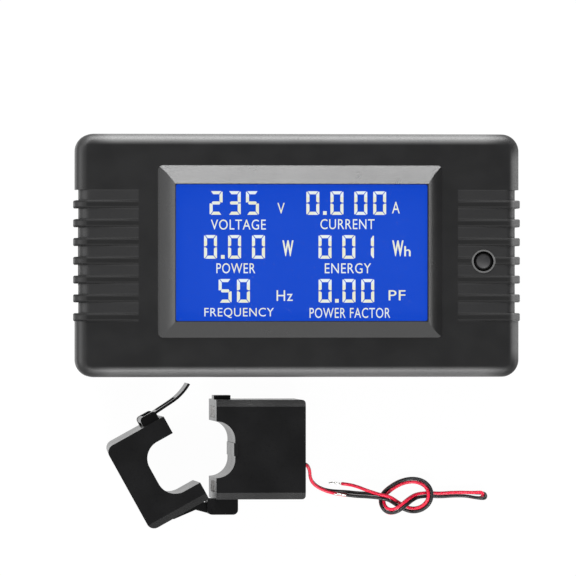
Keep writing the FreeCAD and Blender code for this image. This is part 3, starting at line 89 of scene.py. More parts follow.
# %% The bundle's route
LEAD_DIAMETER = 0.68 * MM
LANE_PITCH = 0.71 * MM
LOW, MIDDLE, HIGH = 0.79, 1.82, 2.86
GLAND = np.array([2.18, -42.45, 0]) * MM
KNOT_MIDDLE = GLAND + np.array([22.17, -6.6, 0]) * MM
LEAD_IN = [
    (-22.17, 6.6, 2.9),
    (-20.98, 6.6, 2.9),
    (-20.3, 5.35, 2.45),
    (-20.2, 4.0, 1.75),
    (-19.7, 2.85, 1.05),
    (-18.55, 1.85, LOW),
    (-16.9, 1.1, LOW),
    (-14.9, 0.7, LOW),
    (-12.6, 0.5, LOW),
    (-10.6, 0.25, 1.0),
    (-8.9, 0.2, 1.7),
]
KNOT = [
    (-7.4, 0.1, 2.5),
    (-6.0, -0.05, HIGH),
    (-4.15, -0.45, HIGH),
    (-3.2, -0.95, MIDDLE),
    (-2.35, -1.5, LOW),
    (-0.75, -2.5, LOW),
    (1.1, -3.05, 0.95),
    (3.0, -2.5, 1.9),
    (4.3, -1.0, HIGH),
    (4.45, 1.0, HIGH),
    (3.4, 2.6, MIDDLE),
    (1.3, 3.3, LOW),
    (-1.2, 2.9, LOW),
    (-3.4, 1.7, LOW),
    (-5.1, 0.2, LOW),
    (-5.4, -1.6, LOW),
    (-4.4, -3.15, MIDDLE),
    (-2.6, -3.1, HIGH),
    (-0.55, -1.4, HIGH),
    (0.75, -0.5, MIDDLE),
    (2.1, 0.08, LOW),
    (4.4, 0.25, LOW),
    (6.6, 0.1, LOW),
    (9.2, 0.3, LOW),
    (12.0, 0.3, LOW),
]
FOLDS = {
    "red": [(13.8, -0.45, 0.38), (15.4, -0.5, 0.38), (15.4, 0.75, 1.7), (13.8, 0.65, 1.7)],
    "black": [(14.5, 0.5, 0.38), (16.0, 0.5, 0.38), (16.0, -0.6, 1.7), (14.5, -0.55, 1.7)],
}
RED_END = [(-8.6, 1.15, 2.5), (-10.4, 1.9, 1.2), (-12.2, 2.35, 0.45), (-13.6, 2.48, 0.40)]
RED_LEAVES_AT = 1
BLACK_STAYS_FOR = 3
RED_ON_TOP = (1, 1, 1, 1, 1, 1, 0.85, 0.35)  # how far red lies on black at the first points
DRAWN_IN = 0.85  # share of the sideways lane that goes where they lie one on the other


def unit(vectors):
    """Each row divided by its own length."""
    return vectors / np.linalg.norm(vectors, axis=-1, keepdims=True)


def route(points):
    """A list of offsets from the knot's middle, in millimetres, as places in metres."""
    return KNOT_MIDDLE + np.array(points) * MM


def lane(points, side, up):
    """Each point moved sideways and upwards, square to the route there. Divided by the cosine of
    half the turn, so that the lane keeps its distance on both sides of a corner."""
    runs = unit(np.diff(points, axis=0))
    before = np.vstack([runs[:1], runs])
    after = np.vstack([runs, runs[-1:]])
    ahead = unit(before + after)
    upright = np.array([0.0, 0.0, 1.0])
    left = unit(np.cross(upright, ahead))
    above = np.cross(ahead, left)
    left_before = unit(np.cross(upright, before))
    above_before = np.cross(before, left_before)
    wide = side / np.sum(left * left_before, axis=1, keepdims=True)
    tall = up / np.sum(above * above_before, axis=1, keepdims=True)
    return points + left * wide + above * tall


both = route(LEAD_IN + KNOT)
standing = np.zeros((len(both), 1))
standing[: len(RED_ON_TOP), 0] = RED_ON_TOP
ways = {}
for colour, side, lift in (("red", -LANE_PITCH / 2, LANE_PITCH), ("black", LANE_PITCH / 2, 0)):
    out = lane(both, side * (1 - DRAWN_IN * standing), lift * standing - LANE_PITCH / 2)
    out[0, 1:] = out[1, 1:]
    back = lane(both, -side, LANE_PITCH / 2)
    leaves = len(LEAD_IN) + (RED_LEAVES_AT if colour == "red" else -BLACK_STAYS_FOR)
    pieces = [out, route(FOLDS[colour]), back[leaves:][::-1]]
    ways[colour] = np.vstack(pieces + ([route(RED_END)] if colour == "red" else []))
print({colour: len(way) for colour, way in ways.items()}, "control points")

# %% Leads
leads = {}
for colour, way in ways.items():
    curve = bpy.data.curves.new("lead_" + colour, "CURVE")
    curve.dimensions = "3D"
    spline = curve.splines.new("NURBS")
    spline.points.add(len(way) - 1)
    spline.points.foreach_set("co", np.c_[way, np.ones(len(way))].ravel())
    spline.points.foreach_set("radius", np.full(len(way), LEAD_DIAMETER / 2))
    spline.order_u = 3
    spline.use_endpoint_u = True
    spline.resolution_u = 8
    curve.bevel_depth = 1.0
    curve.bevel_resolution = 3
    curve.use_fill_caps = True
    lead = bpy.data.objects.new("lead_" + colour, curve)
    bpy.context.scene.collection.objects.link(lead)
    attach(lead, "transformer")
    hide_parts("ct_lead_" + colour)
    leads[colour] = lead
print("leads", sorted(leads))

# %% [markdown]
# Every new piece here is worked out as whole arrays. One helper turns points and faces into a mesh,
# and another builds a tube round a line, closed round and capped at its ends.

# %% Grids to meshes
def link_mesh(name, points, faces, body, slot, smooth=True):
    """A mesh object from points (n, 3) and faces, which rides on a body."""
    mesh = bpy.data.meshes.new(name)
    mesh.from_pydata(np.asarray(points).tolist(), [], [list(map(int, f)) for f in faces])
    mesh.polygons.foreach_set("use_smooth", np.full(len(mesh.polygons), smooth))
    mesh.update()
    piece = bpy.data.objects.new(name, mesh)
    bpy.context.scene.collection.objects.link(piece)
    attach(piece, body)
    print(name, len(mesh.vertices), "points", len(mesh.polygons), "faces")
    return piece


def tube_grid(line, radius, around):
    """A tube: each point of the line, plus the radius times cosine along its side and sine along
    its height, for angles evenly spread round. Returns points and faces with closed ends."""
    ahead = unit(np.gradient(line, axis=0))
    helper = np.array([0.31, 0.17, 0.93])
    side = unit(np.cross(ahead, helper))
    height = np.cross(ahead, side)
    angles = np.linspace(0, 2 * np.pi, around, endpoint=False)[None, :, None]
    rings = line[:, None] + radius * (np.cos(angles) * side[:, None] + np.sin(angles) * height[:, None])
    count = len(line)
    i, j = np.meshgrid(np.arange(count - 1), np.arange(around), indexing="ij")
    here = i * around + j
    beside = i * around + (j + 1) % around
    faces = np.stack([here, beside, beside + around, here + around], -1).reshape(-1, 4).tolist()
    faces.append(list(range(around))[::-1])
    faces.append(list(range((count - 1) * around, count * around)))
    return rings.reshape(-1, 3), faces


def gathered(parts):
    """Several (points, faces) in one, with the face numbers moved on."""
    points = np.vstack([p for p, f in parts])
    starts = np.cumsum([0] + [len(p) for p, f in parts[:-1]])
    faces = [[v + int(s) for v in face] for (p, f), s in zip(parts, starts) for face in f]
    return points, faces


# %% [markdown]
# The bare end of each lead is a bundle of fine tinned strands. They keep the twist of the wire, so
# each strand is a helix round the lead's own line, with one straight strand in the middle.

# %% Stranded ends
TIP_LENGTH = 2.6 * MM
STRAND = 0.15 * MM
STRAND_POINTS = 24
STRAND_SIDES = 8
TWIST = 2.4  # radians over the tip's length
SPLAY = 0.25  # how much wider the bundle is at its end
tips = {}
for colour, way in ways.items():
    ahead = unit(way[-1] - way[-2])
    side = unit(np.cross(ahead, [0, 0, 1]))
    height = np.cross(side, ahead)
    along = np.linspace(0, 1, STRAND_POINTS)[:, None]
    core = way[-1] + along * TIP_LENGTH * ahead
    strands = [tube_grid(core, STRAND / 2, STRAND_SIDES)]
    for turn in np.arange(6) * np.pi / 3:
        angle = turn + along * TWIST
        spread = STRAND * (1 + SPLAY * along**2)
        helix = core + spread * (np.cos(angle) * side + np.sin(angle) * height)
        strands.append(tube_grid(helix[: STRAND_POINTS - int(turn)], STRAND / 2, STRAND_SIDES))
    points, faces = gathered(strands)
    tip = link_mesh("tip_" + colour, points, faces, "transformer", "tinned")
    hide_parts("ct_tip_" + colour)
    tips[colour] = tip

# %% [markdown]
# The display is a liquid crystal cell in front of a blue light. Each digit is seven bars with
# slanted ends that almost touch, and the words and units are small printed shapes in the same
# layer. All of them are thin plates that lie on the glass, below the clear window.

# %% Seven-segment digits
DIGIT_WIDTH = 2.62 * MM
DIGIT_HEIGHT = 4.76 * MM
STROKE = 0.62 * MM
SPLIT = 0.11 * MM
PRINT_LIFT = 0.01 * MM
PRINT_THICKNESS = 0.02 * MM
GLASS_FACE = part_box("lcd_glass")[1][2] + PRINT_LIFT
WINDOW_MIDDLE = float(np.mean(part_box("lcd_window"), axis=0)[0])
SEGMENTS = {"0": "abcdef", "1": "bc", "2": "abdeg", "3": "abcdg", "5": "acdfg"}


def bar_shapes():
    """The outline of each bar in a digit whose lower left corner is at the origin. The top bar is a
    trapezoid; the others are that trapezoid mirrored or turned, and the middle one is a hexagon."""
    wide, high, thick = DIGIT_WIDTH, DIGIT_HEIGHT, STROKE
    clip = 0.16 * MM
    middle = high / 2
    top = [(clip + SPLIT, high), (wide - clip - SPLIT, high), (wide - thick - SPLIT, high - thick)]
    top = np.array(top + [(thick + SPLIT, high - thick)])
    left = [(0, high - clip), (clip, high - clip / 2), (thick, high - thick - SPLIT)]
    left = np.array(left + [(thick, middle + thick / 2), (thick / 2, middle + SPLIT), (0, middle + SPLIT)])
    cross = [(thick / 2 + SPLIT, middle), (thick, middle + thick / 2), (wide - thick, middle + thick / 2)]
    cross = np.array(cross + [(wide - thick / 2 - SPLIT, middle), (wide - thick, middle - thick / 2)])
    cross = np.vstack([cross, [(thick, middle - thick / 2)]])
    flip_x = np.array([-1.0, 1.0])
    flip_y = np.array([1.0, -1.0])
    across, upward = np.array([wide, 0.0]), np.array([0.0, high])
    return {
        "a": top,
        "f": left,
        "g": cross,
        "d": (top * flip_y + upward)[::-1],
        "b": (left * flip_x + across)[::-1],
        "e": (left * flip_y + upward)[::-1],
        "c": left * flip_x * flip_y + across + upward,
    }


def thin_plate(outline):
    """A flat outline in x and y, clockwise or not, as a closed plate on the glass."""
    x, y = outline.T
    turning = np.sum(x * np.roll(y, -1) - y * np.roll(x, -1))
    outline = outline if turning > 0 else outline[::-1]
    count = len(outline)
    low = np.c_[outline, np.full(count, GLASS_FACE)]
    points = np.vstack([low, low + [0, 0, PRINT_THICKNESS]])
    around = np.arange(count)
    beside = (around + 1) % count
    faces = np.stack([around, beside, beside + count, around + count], -1).tolist()
    faces.append(around[::-1].tolist())
    faces.append((around + count).tolist())
    return points, faces


BARS = bar_shapes()
READINGS = [
    (8.2, [("2", -18.48), ("3", -14.81), ("5", -11.14)]),
    (8.2, [("0", 1.08), (".", 4.45), ("0", 5.96), ("0", 10.79), ("0", 14.62)]),
    (-0.65, [("0", -19.61), (".", -16.19), ("0", -14.75), ("0", -9.92)]),
    (-0.65, [("0", 3.54), ("0", 8.36), ("1", 12.14)]),
    (-9.5, [("5", -16.66), ("0", -12.96)]),
    (-9.5, [("0", 3.56), (".", 6.89), ("0", 8.4), ("0", 12.2)]),
]
POINT_SIZE = 0.74 * MM
plates = []
for low, signs in READINGS:
    for sign, left in signs:
        corner = np.array([left, low]) * MM + [WINDOW_MIDDLE, 0]
        if sign == ".":
            square = np.array([(0, 0), (1, 0), (1, 1), (0, 1)]) * POINT_SIZE
            plates.append(thin_plate(square + corner))
        else:
            plates += [thin_plate(BARS[bar] + corner) for bar in SEGMENTS[sign]]
digits = link_mesh("lcd_digits", *gathered(plates), "meter", "lcd_glass", smooth=False)

# %% Words and units on the display
WORDS = [
    ("VOLTAGE", -18.22, -7.12, 5.2, 7.25),
    ("CURRENT", 3.92, 14.88, 5.3, 7.35),
    ("POWER", -17.11, -9.25, -3.6, -1.55),
    ("ENERGY", 4.81, 14.18, -3.6, -1.55),
    ("FREQUENCY", -19.54, -5.5, -12.6, -10.55),
    ("POWER FACTOR", 1.73, 18.07, -12.6, -10.55),
    ("V", -4.78, -3.31, 8.4, 10.6),
    ("A", 18.43, 20, 8.5, 10.85),
    ("W", -3.77, -1.52, -0.15, 3.05),
    ("W", 18.47, 20.77, -0.15, 3.05),
    ("h", 20.91, 22.21, -0.15, 1.9),
    ("Hz", -4.94, -1.68, -9.15, -7.0),
    ("PF", 17.74, 21.15, -9.05, -7.0),
]
HEAVY = {"W": 0.03, "h": 0.01}  # how far these letters' outlines move out, at the font's size of one
LETTER_SPACING = 1.08


def lettering(text, thickness):
    """Letters as points and faces, one unit high or so, from Blender's own plain font."""
    curve = bpy.data.curves.new("letters", "FONT")
    curve.body = text
    curve.extrude = thickness / 2
    curve.resolution_u = 4
    curve.space_character = LETTER_SPACING
    curve.offset = HEAVY.get(text, 0.0)
    carrier = bpy.data.objects.new("letters", curve)
    bpy.context.scene.collection.objects.link(carrier)
    bpy.context.view_layer.update()
    mesh = bpy.data.meshes.new_from_object(carrier)
    points = np.empty(len(mesh.vertices) * 3)
    mesh.vertices.foreach_get("co", points)
    faces = [list(polygon.vertices) for polygon in mesh.polygons]
    bpy.data.objects.remove(carrier)
    bpy.data.curves.remove(curve)
    bpy.data.meshes.remove(mesh)
    return points.reshape(-1, 3), faces


def fitted(text, left, right, low, high):
    """Letters stretched until their outline fills the box, in mm from the window's middle line."""
    points, faces = lettering(text, 1.0)
    least, most = points.min(axis=0), points.max(axis=0)
    share = (points - least) / (most - least)
    size = np.array([(right - left) * MM, (high - low) * MM, PRINT_THICKNESS])
    return np.array([WINDOW_MIDDLE + left * MM, low * MM, GLASS_FACE]) + share * size, faces


words = [fitted(*word) for word in WORDS]
lettered = link_mesh("lcd_words", *gathered(words), "meter", "lcd_glass", smooth=False)

# %% [markdown]
# The terminals are numbered on the rear of their block, so that an electrician can tell them apart
# with the meter turned over. The numerals are moulded with the block and stand 0.12 mm proud. They
# read from below, so their left is the model's right.

# %% Terminal numerals
NUMERAL_HEIGHT = 2.0 * MM
NUMERAL_RISE = 0.12 * MM
NUMERAL_ROOT = 0.02 * MM
NUMERAL_FOOT = -14.6 * MM
TERMINALS_X = (-11.43, -3.81, 3.81, 11.43)
BLOCK_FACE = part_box("terminal_block")[0][2]
numerals = []
for i, x in enumerate(TERMINALS_X):
    points, faces = lettering(str(i + 1), 1.0)
    least, most = points.min(axis=0), points.max(axis=0)
    share = (points - least) / (most[1] - least[1])
    tall = (points[:, 2:] - least[2]) / (most[2] - least[2])
    flat = share[:, :2] * NUMERAL_HEIGHT
    flat[:, 0] -= flat[:, 0].max() / 2
    level = BLOCK_FACE + NUMERAL_ROOT - tall * NUMERAL_RISE
    numerals.append((np.c_[x * MM - flat[:, 0], flat[:, 1] + NUMERAL_FOOT, level], faces))
numbered = link_mesh("terminal_numerals", *gathered(numerals), "meter", "terminal_black", smooth=False)

# %% [markdown]
# Materials are sums of simple patterns. Writing those sums as arithmetic keeps them readable, so a
# small class stands for a shader socket, and plus, minus, times and comparisons on it add the maths
# nodes. Numbers alone are worked out in Python and never become nodes.

# %% Shader arithmetic
class Value:
    """One output socket of a material. Arithmetic on it gives the output of a new maths node."""

    def __init__(self, finish, socket):
        self.finish = finish
        self.socket = socket

    def maths(self, operation, first, second):
        return self.finish.node("ShaderNodeMath", {"operation": operation}, {0: first, 1: second})

    def __add__(self, other):
        return self.maths("ADD", self, other)

    def __sub__(self, other):
        return self.maths("SUBTRACT", self, other)

    def __rsub__(self, other):
        return self.maths("SUBTRACT", other, self)

    def __mul__(self, other):
        return self.maths("MULTIPLY", self, other)

    def __truediv__(self, other):
        return self.maths("DIVIDE", self, other)

    def __pow__(self, other):
        return self.maths("POWER", self, other)

    def __mod__(self, other):
        return self.maths("FLOORED_MODULO", self, other)

    def __gt__(self, other):
        return self.maths("GREATER_THAN", self, other)

    def __lt__(self, other):
        return self.maths("LESS_THAN", self, other)

    def __abs__(self):
        return self.maths("ABSOLUTE", self, 0.0)

    __radd__ = __add__


class Finish:
    """A material of nodes. Places are read in metres from the object's own coordinates."""

    def __init__(self, name, **constants):
        self.material = bpy.data.materials.new(name)
        self.material.use_nodes = True
        self.tree = self.material.node_tree
        self.shader = self.tree.nodes["Principled BSDF"]
        for socket, value in constants.items():
            self.shader.inputs[socket.replace("_", " ")].default_value = value
        self.place = self.node("ShaderNodeTexCoord", output="Object")

    def node(self, kind, settings=None, inputs=None, output=0):
        """Adds a node of any type, with its settings and inputs, and gives one output."""
        made = self.tree.nodes.new(kind)
        for setting, value in (settings or {}).items():
            setattr(made, setting, value)
        for socket, value in (inputs or {}).items():
            self.feed(made.inputs[socket], value)
        return Value(self, made.outputs[output])

    def feed(self, socket, value):
        if isinstance(value, Value):
            self.tree.links.new(value.socket, socket)
        else:
            socket.default_value = value

    def axes(self):
        """The place's x, y and z."""
        split = self.tree.nodes.new("ShaderNodeSeparateXYZ")
        self.feed(split.inputs[0], self.place)
        return [Value(self, output) for output in split.outputs]

    def stretched(self, x=1.0, y=1.0, z=1.0):
        """The place with each axis multiplied, for patterns that run one way."""
        settings = {"operation": "MULTIPLY"}
        return self.node("ShaderNodeVectorMath", settings, {0: self.place, 1: (x, y, z)})

    def noise(self, per_metre, detail=2.0, place=None):
        """Cloudy noise between about 0.2 and 0.8, so many lumps to the metre."""
        inputs = {"Vector": place or self.place, "Scale": per_metre, "Detail": detail}
        return self.node("ShaderNodeTexNoise", None, inputs)

    def step(self, value, low, high):
        """Nought below low, one above high and a smooth step between."""
        settings = {"interpolation_type": "SMOOTHSTEP"}
        return self.node("ShaderNodeMapRange", settings, {0: value, 1: low, 2: high})

    def stripe(self, value, pitch, share):
        """One on the middle share of every pitch and nought between, with soft edges."""
        off = abs((value / pitch) % 1.0 - 0.5)
        return 1.0 - self.step(off, share / 2 - 0.04, share / 2 + 0.04)

    def blend(self, factor, first, second):
        """A colour between two colours."""
        colours = [c if isinstance(c, Value) else (*c, 1.0)[:4] for c in (first, second)]
        settings = {"data_type": "RGBA"}
        return self.node("ShaderNodeMix", settings, {0: factor, 6: colours[0], 7: colours[1]}, 2)

    def bump(self, height, depth):
        """A normal for a relief of that depth, in metres."""
        inputs = {"Height": height, "Distance": depth, "Strength": 1.0}
        return self.node("ShaderNodeBump", None, inputs)

    def dress(self, **inputs):
        """Links the values to the shader's sockets, such as Base_Color, and gives the finish."""
        for socket, value in inputs.items():
            self.feed(self.shader.inputs[socket.replace("_", " ")], value)
        return self


# %% [markdown]
# Moulded plastic copies the mould: a fine eroded grain, and here and there a deeper pit. Its gloss
# changes a little where the melt flowed past. The front's rounded edges, the button's ring and one
# side of its dish have a paler base colour, a painted highlight, and no wear.

# %% Plastics
def moulded(name, colour, rough, grain=3600, depth=0.012, pits=0.0, level=0.3, light=1.12):
    """Moulded plastic with an eroded grain, so many grains to the metre and so deep in mm."""
    f = Finish(name, Specular_IOR_Level=level)
    fine = f.noise(grain, 3.0)
    flow = f.noise(160, 2.0)
    pit = f.step(f.noise(grain * 0.8, 1.0), 0.60, 0.70) * pits
    dark = tuple(c * 0.86 for c in colour)
    pale = tuple(c * light for c in colour)
    tint = f.blend(f.step(flow, 0.3, 0.7), dark, pale)
    tint = f.blend(pit, tint, tuple(c * 0.35 for c in colour))
    normal = f.bump(fine - pit * 0.8, depth * MM)
    return f.dress(Base_Color=tint, Roughness=rough + (flow - 0.5) * 0.12 + fine * 0.05, Normal=normal)


RIB_PITCH = 3.79 * MM
RIB_SHARE = 0.43
MIDDLE_RIB = -1.065 * MM
GRIP_FROM = 32.3 * MM
GRIP_HALF = 13.25 * MM
FACE_TOP = 22.4 * MM
BUTTON = np.mean(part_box("button_cap"), axis=0)
RING_RADIUS = 2.4 * MM
SIDE = 44.8 * MM  # half the front's width, without the ribs
END = 24.5 * MM  # half the front's height


def inwards(f, place, edge, begins, ends):
    """A smooth step between two distances inwards of an edge, in millimetres."""
    return f.step(place, edge - begins * MM, edge - ends * MM)


def from_button(x, y):
    """Offsets from the button's middle along x and y, and the distance, the root of their squares."""
    off_x, off_y = x - float(BUTTON[0]), y - float(BUTTON[1])
    return off_x, off_y, (off_x * off_x + off_y * off_y) ** 0.5


def front_plastic():
    """The front: matt, with painted shade on its ribs and painted light between them, smoother on the
    bezel, and a painted highlight, a paler tint, on the button's ring and along the rounded edges."""
    f = Finish("front_black", Specular_IOR_Level=0.30)
    x, y, z = f.axes()
    fine = f.noise(3600, 3.0)
    flow = f.noise(160, 2.0)
    grip = (abs(x) > GRIP_FROM) * (abs(y) < GRIP_HALF)
    across_ribs = y - MIDDLE_RIB + RIB_PITCH / 2
    rib = f.stripe(across_ribs, RIB_PITCH, RIB_SHARE)
    rib_edge = f.stripe(across_ribs, RIB_PITCH, RIB_SHARE + 0.04) - f.stripe(across_ribs, RIB_PITCH, 0.24)
    raised = z > FACE_TOP + 0.05 * MM
    bezel = raised * (abs(x) < GRIP_FROM)
    ring = (from_button(x, y)[2] < RING_RADIUS) * 1.0
    tint = f.blend(f.step(flow, 0.3, 0.7), (0.0042, 0.0042, 0.0044), (0.0056, 0.0056, 0.0058))
    # Painted shade and light: in the grip the ribs are tinted darker and the bands between them paler than
    # the rest of the face.
    tint = f.blend(grip, tint, f.blend(rib, (0.0072, 0.0072, 0.0075), (0.0010, 0.0010, 0.0011)))
    # Painted highlight: the button's raised ring gets a pale base colour.
    tint = f.blend(ring * raised, tint, (0.06, 0.06, 0.06))
    rounding = inwards(f, z, FACE_TOP, 2.0, 1.1)
    all_round = inwards(f, abs(x), SIDE, 2.4, 1.6) + inwards(f, abs(y), END, 2.4, 1.6)
    long_edges = inwards(f, abs(y), END, 2.3, 1.2) * inwards(f, abs(x), SIDE, 2, 8)
    short_edge = inwards(f, x, SIDE, 2.1, 1.1) * inwards(f, abs(y), END, 2, 6)
    # Painted highlight: a paler base colour along the rounded top, bottom and right edges, where the lights'
    # reflections would lie.
    painted_edge_highlight = (long_edges + short_edge) * rounding * (flow * 0.4 + 0.8)
    tint = f.blend(painted_edge_highlight, tint, (0.066, 0.066, 0.066))
    tint = f.blend(f.step(fine, 0.62, 0.72) * 0.5, tint, (0.002, 0.002, 0.002))
    rough = 0.33 + grip * (rib_edge * 0.38 + 0.09) + all_round * 0.13 - bezel * 0.07
    return f.dress(
        Base_Color=tint,
        Roughness=rough + (flow - 0.5) * 0.08,
        Normal=f.bump(fine, 0.010 * MM),
    )


def button_plastic():
    """The cap: a dull black rim round a dish whose lower left is tinted paler, a painted highlight."""
    f = Finish("button_black", Specular_IOR_Level=0.05)
    x, y, z = f.axes()
    off_x, off_y, away = from_button(x, y)
    dish = f.step(away, 1.5 * MM, 1.3 * MM)
    # Painted highlight: the dish's base colour grows paler towards its lower left.
    lit = f.step(off_x + off_y, 1.8 * MM, -1.8 * MM)
    fine = f.noise(5200, 2.0)
    tint = f.blend(dish, (0.0016, 0.0016, 0.0017), f.blend(lit, (0.016, 0.016, 0.017), (0.044, 0.044, 0.045)))
    return f.dress(Base_Color=tint, Roughness=0.42 + fine * 0.1, Normal=f.bump(fine, 0.004 * MM))


def clear_window():
    """Clear acrylic, hard coated: almost only what lies behind it shows, and a little dust."""
    f = Finish("window_clear", Specular_IOR_Level=0.3, IOR=1.49)
    dust = f.step(f.noise(2400, 2.0), 0.68, 0.74)
    haze = f.noise(90, 2.0)
    return f.dress(
        Base_Color=f.blend(dust, (0.02, 0.03, 0.05), (0.25, 0.27, 0.3)),
        Roughness=0.05 + haze * 0.08,
        Alpha=0.05 + dust * 0.05,
    )


def display_glass():
    """The glass cell, clear greenish at its edges, with the lit blue film on its front face and a painted
    shadow along the film's top.
    """
    f = Finish("lcd_glass", Specular_IOR_Level=0.05, Emission_Strength=1.0)
    x, y, z = f.axes()
    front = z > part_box("lcd_glass")[1][2] - 0.05 * MM
    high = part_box("lcd_glass")[1][1]
    # Painted shadow: the blue film is a little darker just below its top edge, where the window's rim would
    # shade it.
    upper = f.step(y, high - 2.0 * MM, high - 0.5 * MM)
    cloud = f.noise(120, 2.0)
    lit = f.blend(cloud, (0.0008, 0.055, 0.60), (0.0022, 0.061, 0.64))
    lit = f.blend(upper * 0.6, lit, (0.0010, 0.052, 0.57))
    grid = f.stripe(x, 0.12 * MM, 0.9) * f.stripe(y, 0.12 * MM, 0.9)
    lit = f.blend(grid, (0.0010, 0.052, 0.58), lit)
    return f.dress(
        Base_Color=f.blend(front, (0.35, 0.5, 0.45), (0.002, 0.006, 0.02)),
        Emission_Color=f.blend(front, (0.0, 0.01, 0.03), lit),
        Roughness=0.3 + cloud * 0.15,
    )


def lit_print():
    """Letters and bars that let the white light through, warmer where the film is thin."""
    f = Finish("lcd_print", Specular_IOR_Level=0.05, Emission_Strength=1.0)
    x, y, z = f.axes()
    warm = f.step(f.noise(420, 2.0) + ((y / (8.85 * MM) - 0.33) % 1.0) * 0.35, 0.45, 0.85)
    tone = f.blend(warm, (0.84, 0.93, 0.97), (0.86, 0.86, 0.66))
    return f.dress(
        Base_Color=f.blend(warm, (0.02, 0.02, 0.02), (0.03, 0.03, 0.02)),
        Emission_Color=tone,
        Roughness=0.4 + warm * 0.1,
    )


finishes = {
    "front_black": front_plastic(),
    "case_black": moulded("case_black", (0.010, 0.010, 0.0105), 0.50, 2600, 0.018, 0.8, 0.22),
    "window_clear": clear_window(),
    "lcd_glass": display_glass(),
    "lcd_print": lit_print(),
    "frame_white": moulded("frame_white", (0.78, 0.78, 0.75), 0.45, 4200, 0.006, 0.0, 0.5, 1.04),
    "button_black": button_plastic(),
    "switch_black": moulded("switch_black", (0.02, 0.02, 0.02), 0.5, 4200, 0.008, 0.3, 0.4),
    "plunger_brown": moulded("plunger_brown", (0.3, 0.16, 0.08), 0.45, 4200, 0.006, 0.1, 0.4),
    "terminal_black": moulded("terminal_black", (0.013, 0.013, 0.014), 0.55, 2200, 0.02, 0.6, 0.3),
    "film_yellow": moulded("film_yellow", (0.70, 0.42, 0.03), 0.3, 1200, 0.01, 0.1, 0.5),
    "varistor_blue": moulded("varistor_blue", (0.02, 0.09, 0.36), 0.28, 900, 0.03, 0.0, 0.5),
    "transformer_black": moulded("transformer_black", (0.0038, 0.0038, 0.0040), 0.22, 3400, 0.006, 0.4, 0.17),
    "bobbin_white": moulded("bobbin_white", (0.72, 0.7, 0.62), 0.45, 3800, 0.008, 0.0, 0.5, 1.04),
    "grommet_rubber": moulded("grommet_rubber", (0.015, 0.015, 0.015), 0.7, 2600, 0.02, 0.4, 0.3),
}
print(len(finishes), "plastics")

# %% [markdown]
# Metals differ in how they were made: drawn and plated wire, turned screws with rings from the tool,
# pressed cages, a ground core with the edges of its sheets, and enamelled wire wound side by side.

# %% Metals
def metal(name, colour, rough, run=(1, 1, 1), per_metre=2400, depth=0.004, spots=0.3):
    """Metal with fine lines along one direction, cloudy plating and small dull spots."""
    f = Finish(name, Metallic=1.0)
    lines = f.noise(per_metre, 3.0, f.stretched(*run))
    cloud = f.noise(380, 3.0)
    spot = f.step(f.noise(1500, 2.0), 0.60, 0.72) * spots
    tint = f.blend(f.step(cloud, 0.3, 0.7), tuple(c * 0.85 for c in colour), colour)
    tint = f.blend(spot, tint, tuple(c * 0.45 for c in colour))
    return f.dress(
        Base_Color=tint,
        Roughness=rough + lines * 0.15 + spot * 0.3,
        Normal=f.bump(lines, depth * MM),
    )


def laminated(name):
    """A stack of thin annealed sheets, seen on edge, with a ground pole face."""
    f = Finish(name)
    x, y, z = f.axes()
    sheet = f.stripe(z, 0.35 * MM, 0.82)
    stain = f.step(f.noise(420, 3.0), 0.42, 0.7)
    tint = f.blend(sheet, (0.025, 0.025, 0.028), (0.34, 0.33, 0.32))
    tint = f.blend(stain * 0.6, tint, (0.10, 0.085, 0.07))
    fine = f.noise(5200, 2.0, f.stretched(1, 1, 0.15))
    return f.dress(
        Base_Color=tint,
        Metallic=sheet * 0.85,
        Roughness=0.34 + stain * 0.2 + fine * 0.1,
        Normal=f.bump(sheet + fine * 0.3, 0.02 * MM),
    )


def wound(name):
    """Enamelled copper wire in close turns that run along y, with some turns darker."""
    f = Finish(name, Metallic=0.9)
    x, y, z = f.axes()
    gauge = 0.16 * MM
    across = abs((y / gauge) % 1.0 - 0.5)
    turn = f.noise(1.0 / gauge, 0.0, f.stretched(0.02, 1, 0.02))
    tint = f.blend(f.step(turn, 0.35, 0.65), (0.42, 0.12, 0.03), (0.78, 0.32, 0.12))
    tint = f.blend(f.step(across, 0.3, 0.5), tint, (0.06, 0.015, 0.006))
    return f.dress(Base_Color=tint, Roughness=0.25 + across * 0.3, Normal=f.bump(0.5 - across, 0.05 * MM))


finishes["tinned"] = metal("tinned", (0.70, 0.70, 0.68), 0.22, (1, 1, 0.3), 3600, 0.003, 0.4)
finishes["screw_steel"] = metal("screw_steel", (0.55, 0.57, 0.58), 0.24, (1, 0.12, 1), 5200, 0.004, 0.5)
finishes["terminal_metal"] = metal("terminal_metal", (0.74, 0.60, 0.33), 0.26, (1, 1, 0.1), 4200, 0.003, 0.4)
finishes["crystal_can"] = metal("crystal_can", (0.66, 0.66, 0.64), 0.2, (0.2, 1, 1), 3000, 0.004, 0.2)
finishes["spring_steel"] = metal("spring_steel", (0.46, 0.47, 0.5), 0.2, (1, 0.15, 1), 5200, 0.003, 0.3)
finishes["core_dark"] = laminated("core_dark")
finishes["winding_copper"] = wound("winding_copper")
print(len(finishes), "finishes with metals")

# %% [markdown]
# The parts on the board each look like the real ones: green solder mask over copper tracks with
# tinned holes, a sleeve with its pale stripe, a resistor with colour rings, and moulded chips with a
# dimple at pin one and tinned legs.

